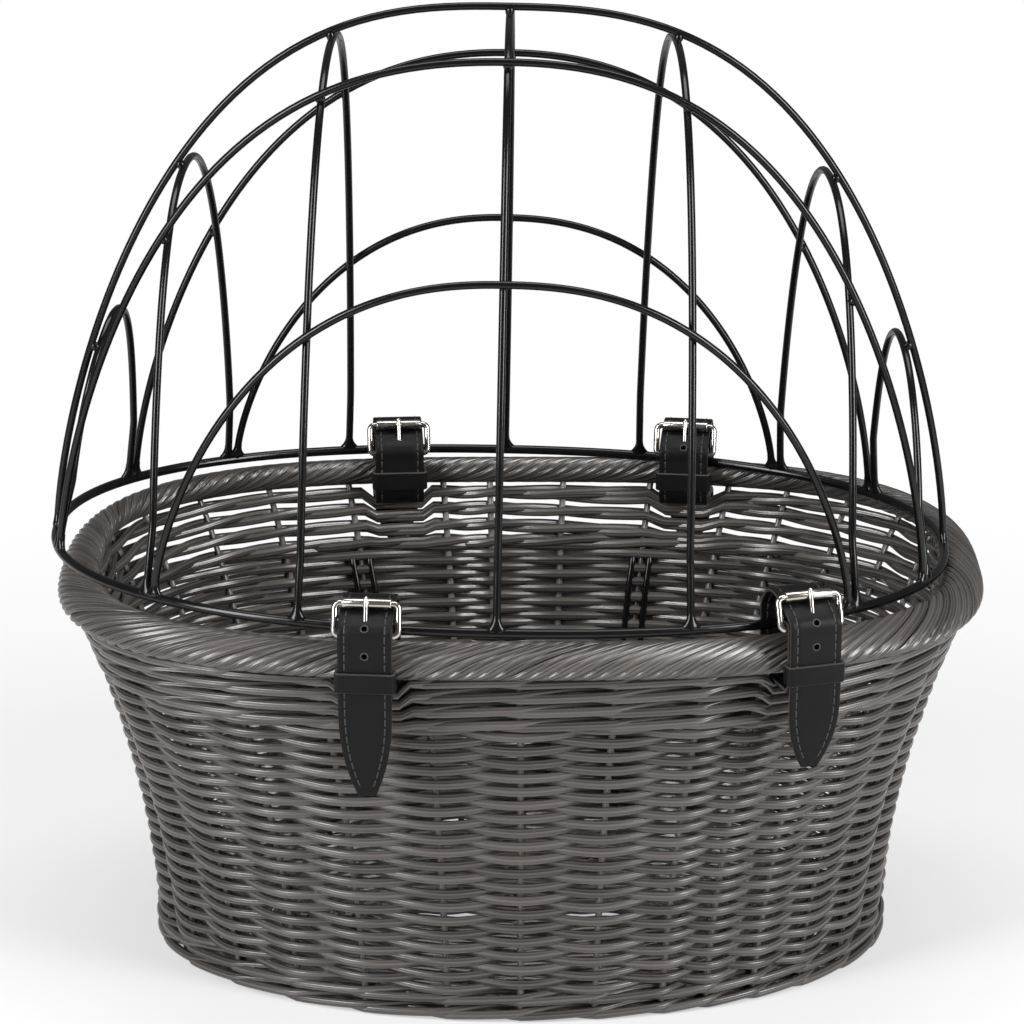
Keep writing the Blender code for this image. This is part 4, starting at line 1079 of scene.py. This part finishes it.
def keeper(name, place, spec):
    """A closed band of leather round both layers of a belt."""
    inner, outer = under - THICK / 2 - PLAY, over + THICK / 2 + PLAY
    half, wall, high, corner = BELT / 2 + PLAY, 1.4 * MM, 9 * MM, 0.8 * MM
    middle = Vector((0, (inner + outer) / 2, spec["keeper"] * MM))
    shape = bmesh.new()
    inside, outside = (rounded_rectangle(half + grow, (outer - inner) / 2 + grow, corner + grow, 5)
                       for grow in (0.0, wall))
    n = len(inside)
    round_off, bulge = 0.35 * MM, 0.12 * MM  # how the cut edges are rounded
    rows = [[shape.verts.new(middle + Vector((px, py, z))) for px, py in ring]
            for ring, z in ((inside, 0.0), (inside, high), (outside, high - round_off),
                            (outside, high * 0.5), (outside, round_off))]
    mids = [[shape.verts.new(middle + Vector(((ax + bx) / 2, (ay + by) / 2, z)))
             for (ax, ay), (bx, by) in zip(inside, outside)]
            for z in (high + bulge, -bulge)]
    order = [rows[0], rows[1], mids[0], rows[2], rows[3], rows[4], mids[1]]
    for a, b, edge in zip(order, order[1:] + order[:1], (0, 1, 1, 0, 0, 1, 1)):
        for i in range(n):
            j = (i + 1) % n
            shape.faces.new((a[i], a[j], b[j], b[i])).material_index = edge
    leather_object("keeper_band_" + name, shape, "keeper_" + name, "keeper_" + name, place)

# %% [markdown]
# The four belts are one recipe with other numbers: which two stakes a belt lies between, which way
# its buckle faces, how long its tongue hangs and whether that is tucked away. Everything is made
# round the border's middle and then moved to its place.

# %% Four belts
for name, spec in BELTS.items():
    place = frame_at(belt_run(spec["quarter"], spec["after"]), BORDER_Z, RIM)
    if not spec["outward"]:
        place = place @ Matrix.Rotation(math.pi, 4, "Z")
    route = belt_route(spec)
    halves = belt_halves(route, spec)
    leather_object("belt_" + name, strip(route, halves), "basket", "strap_" + name, place)

    threads, mouths, rims = (Bundle(f"{kind}_{name}")
                             for kind in ("thread", "hole_mouths", "hole_rims"))
    runs, out = stitch_rows(threads, route, halves, 16 * MM)
    tongue = np.arange(len(route)) > len(route) * 0.55
    for z in spec["holes"]:
        near = np.where(tongue & (route[:, 1] > over * 0.6), np.abs(route[:, 2] - z * MM), 1)
        k = int(np.argmin(near))
        punched_hole(mouths, rims, route[k], unit(out[k]) * math.copysign(1, out[k][1]))
    # Hole mouths are painted shade; hole rims take the cut edge's colour, partly as a painted
    # highlight.
    for bundle, finish in ((threads, thread), (mouths, hole_shade_paint), (rims, cut_edge)):
        if bundle.points:
            bundle.points = [to_row(p, place) for p in bundle.points]
            bundle.build(finish, "black_leather")
    buckle(name, place)
    keeper(name, place, spec)
    print(name, "belt length in mm", round(runs[-1] / MM))

# %% [markdown]
# ## Floor, light and camera
# The photograph is a studio picture on white: soft light from both sides and above leaves the
# front a little darker than the flanks. The floor fades into plain white away from the basket and
# keeps its shadow. The camera stands two metres off with a long lens, 18 degrees above.

# %% Studio
def floor():
    mesh = bpy.data.meshes.new("floor")
    shape = bmesh.new()
    bmesh.ops.create_circle(shape, cap_ends=True, segments=96, radius=12)
    shape.to_mesh(mesh)
    shape.free()
    made = bpy.data.objects.new("floor", mesh)
    bpy.context.collection.objects.link(made)
    finish = Finish("white_floor", (0.66, 0.66, 0.66), 0.7, specular=0.1)
    spot = finish.tree.nodes.new("ShaderNodeVectorMath")
    spot.operation = "LENGTH"
    finish.tree.links.new(finish.place().socket, spot.inputs[0])
    far = finish.add("ShaderNodeMapRange",
                     {0: Value(finish, spot.outputs["Value"]), 1: 0.24, 2: 0.75},
                     interpolation_type="SMOOTHSTEP")
    white = finish.tree.nodes.new("ShaderNodeEmission")
    blend = finish.tree.nodes.new("ShaderNodeMixShader")
    path = finish.tree.nodes.new("ShaderNodeLightPath")
    seen = (Value(finish, path.outputs["Is Camera Ray"])
            + Value(finish, path.outputs["Is Transmission Ray"]))
    share = (far * 0.5 + 0.5) * seen
    finish.tree.links.new(share.socket, blend.inputs[0])
    finish.tree.links.new(finish.shader.outputs[0], blend.inputs[1])
    finish.tree.links.new(white.outputs[0], blend.inputs[2])
    finish.tree.links.new(blend.outputs[0], finish.tree.nodes["Material Output"].inputs["Surface"])
    mesh.materials.append(finish.material)

def lamp(name, at, aim, size, watts):
    light = bpy.data.lights.new(name, "AREA")
    light.shape = "RECTANGLE"
    light.size, light.size_y = size
    light.energy = watts
    made = bpy.data.objects.new(name, light)
    bpy.context.collection.objects.link(made)
    made.location = at
    made.rotation_euler = (Vector(aim) - Vector(at)).to_track_quat("-Z", "Y").to_euler()

def world(light_level, seen_level):
    made = bpy.data.worlds.new("studio")
    bpy.context.scene.world = made
    made.use_nodes = True
    tree = made.node_tree
    ground = tree.nodes["Background"]
    path = tree.nodes.new("ShaderNodeLightPath")
    seen = tree.nodes.new("ShaderNodeMath")
    seen.operation = "MAXIMUM"
    tree.links.new(path.outputs["Is Camera Ray"], seen.inputs[0])
    tree.links.new(path.outputs["Is Transmission Ray"], seen.inputs[1])
    level = tree.nodes.new("ShaderNodeMapRange")
    tree.links.new(seen.outputs[0], level.inputs[0])
    level.inputs[3].default_value, level.inputs[4].default_value = light_level, seen_level
    tree.links.new(level.outputs[0], ground.inputs["Strength"])
    ground.inputs["Color"].default_value = (1, 1, 1, 1)

floor()
world(0.16, 1.0)
lamp("left_softbox", (-1.35, -1.15, 1.0), (0, 0, 0.15), (0.6, 1.4), 44)
lamp("right_softbox", (1.4, -1.05, 1.0), (0, 0, 0.15), (0.6, 1.4), 46)
lamp("top_softbox", (0.0, 0.2, 2.0), (0, 0, 0.2), (1.6, 0.8), 22)
print("lamps", len(bpy.data.lights))

# %% [markdown]
# The camera could be placed by eye. Here its distance, its height and its aim come from matching
# the rim, the foot and the wires with the photograph, and a small shift puts the basket where it
# stands in the frame.

# %% Camera
AIM, AWAY, ABOVE = Vector((0, 0, 0.20927)), 2.0836, math.radians(17.615)
eye = AIM + Vector((0, -math.cos(ABOVE), math.sin(ABOVE))) * AWAY
lens = bpy.data.cameras.new("photo_camera")
lens.sensor_width = 36
lens.lens = 4400 / 1024 * 36
lens.shift_x = -8.6 / 1024
lens.clip_start, lens.clip_end = 0.05, 50
camera = bpy.data.objects.new("photo_camera", lens)
bpy.context.collection.objects.link(camera)
camera.location = eye
camera.rotation_euler = (AIM - eye).to_track_quat("-Z", "Y").to_euler()
bpy.context.scene.camera = camera
bpy.context.scene.view_settings.view_transform = "Standard"
print("camera in mm", [round(v / MM) for v in eye], "lens", round(lens.lens, 1))
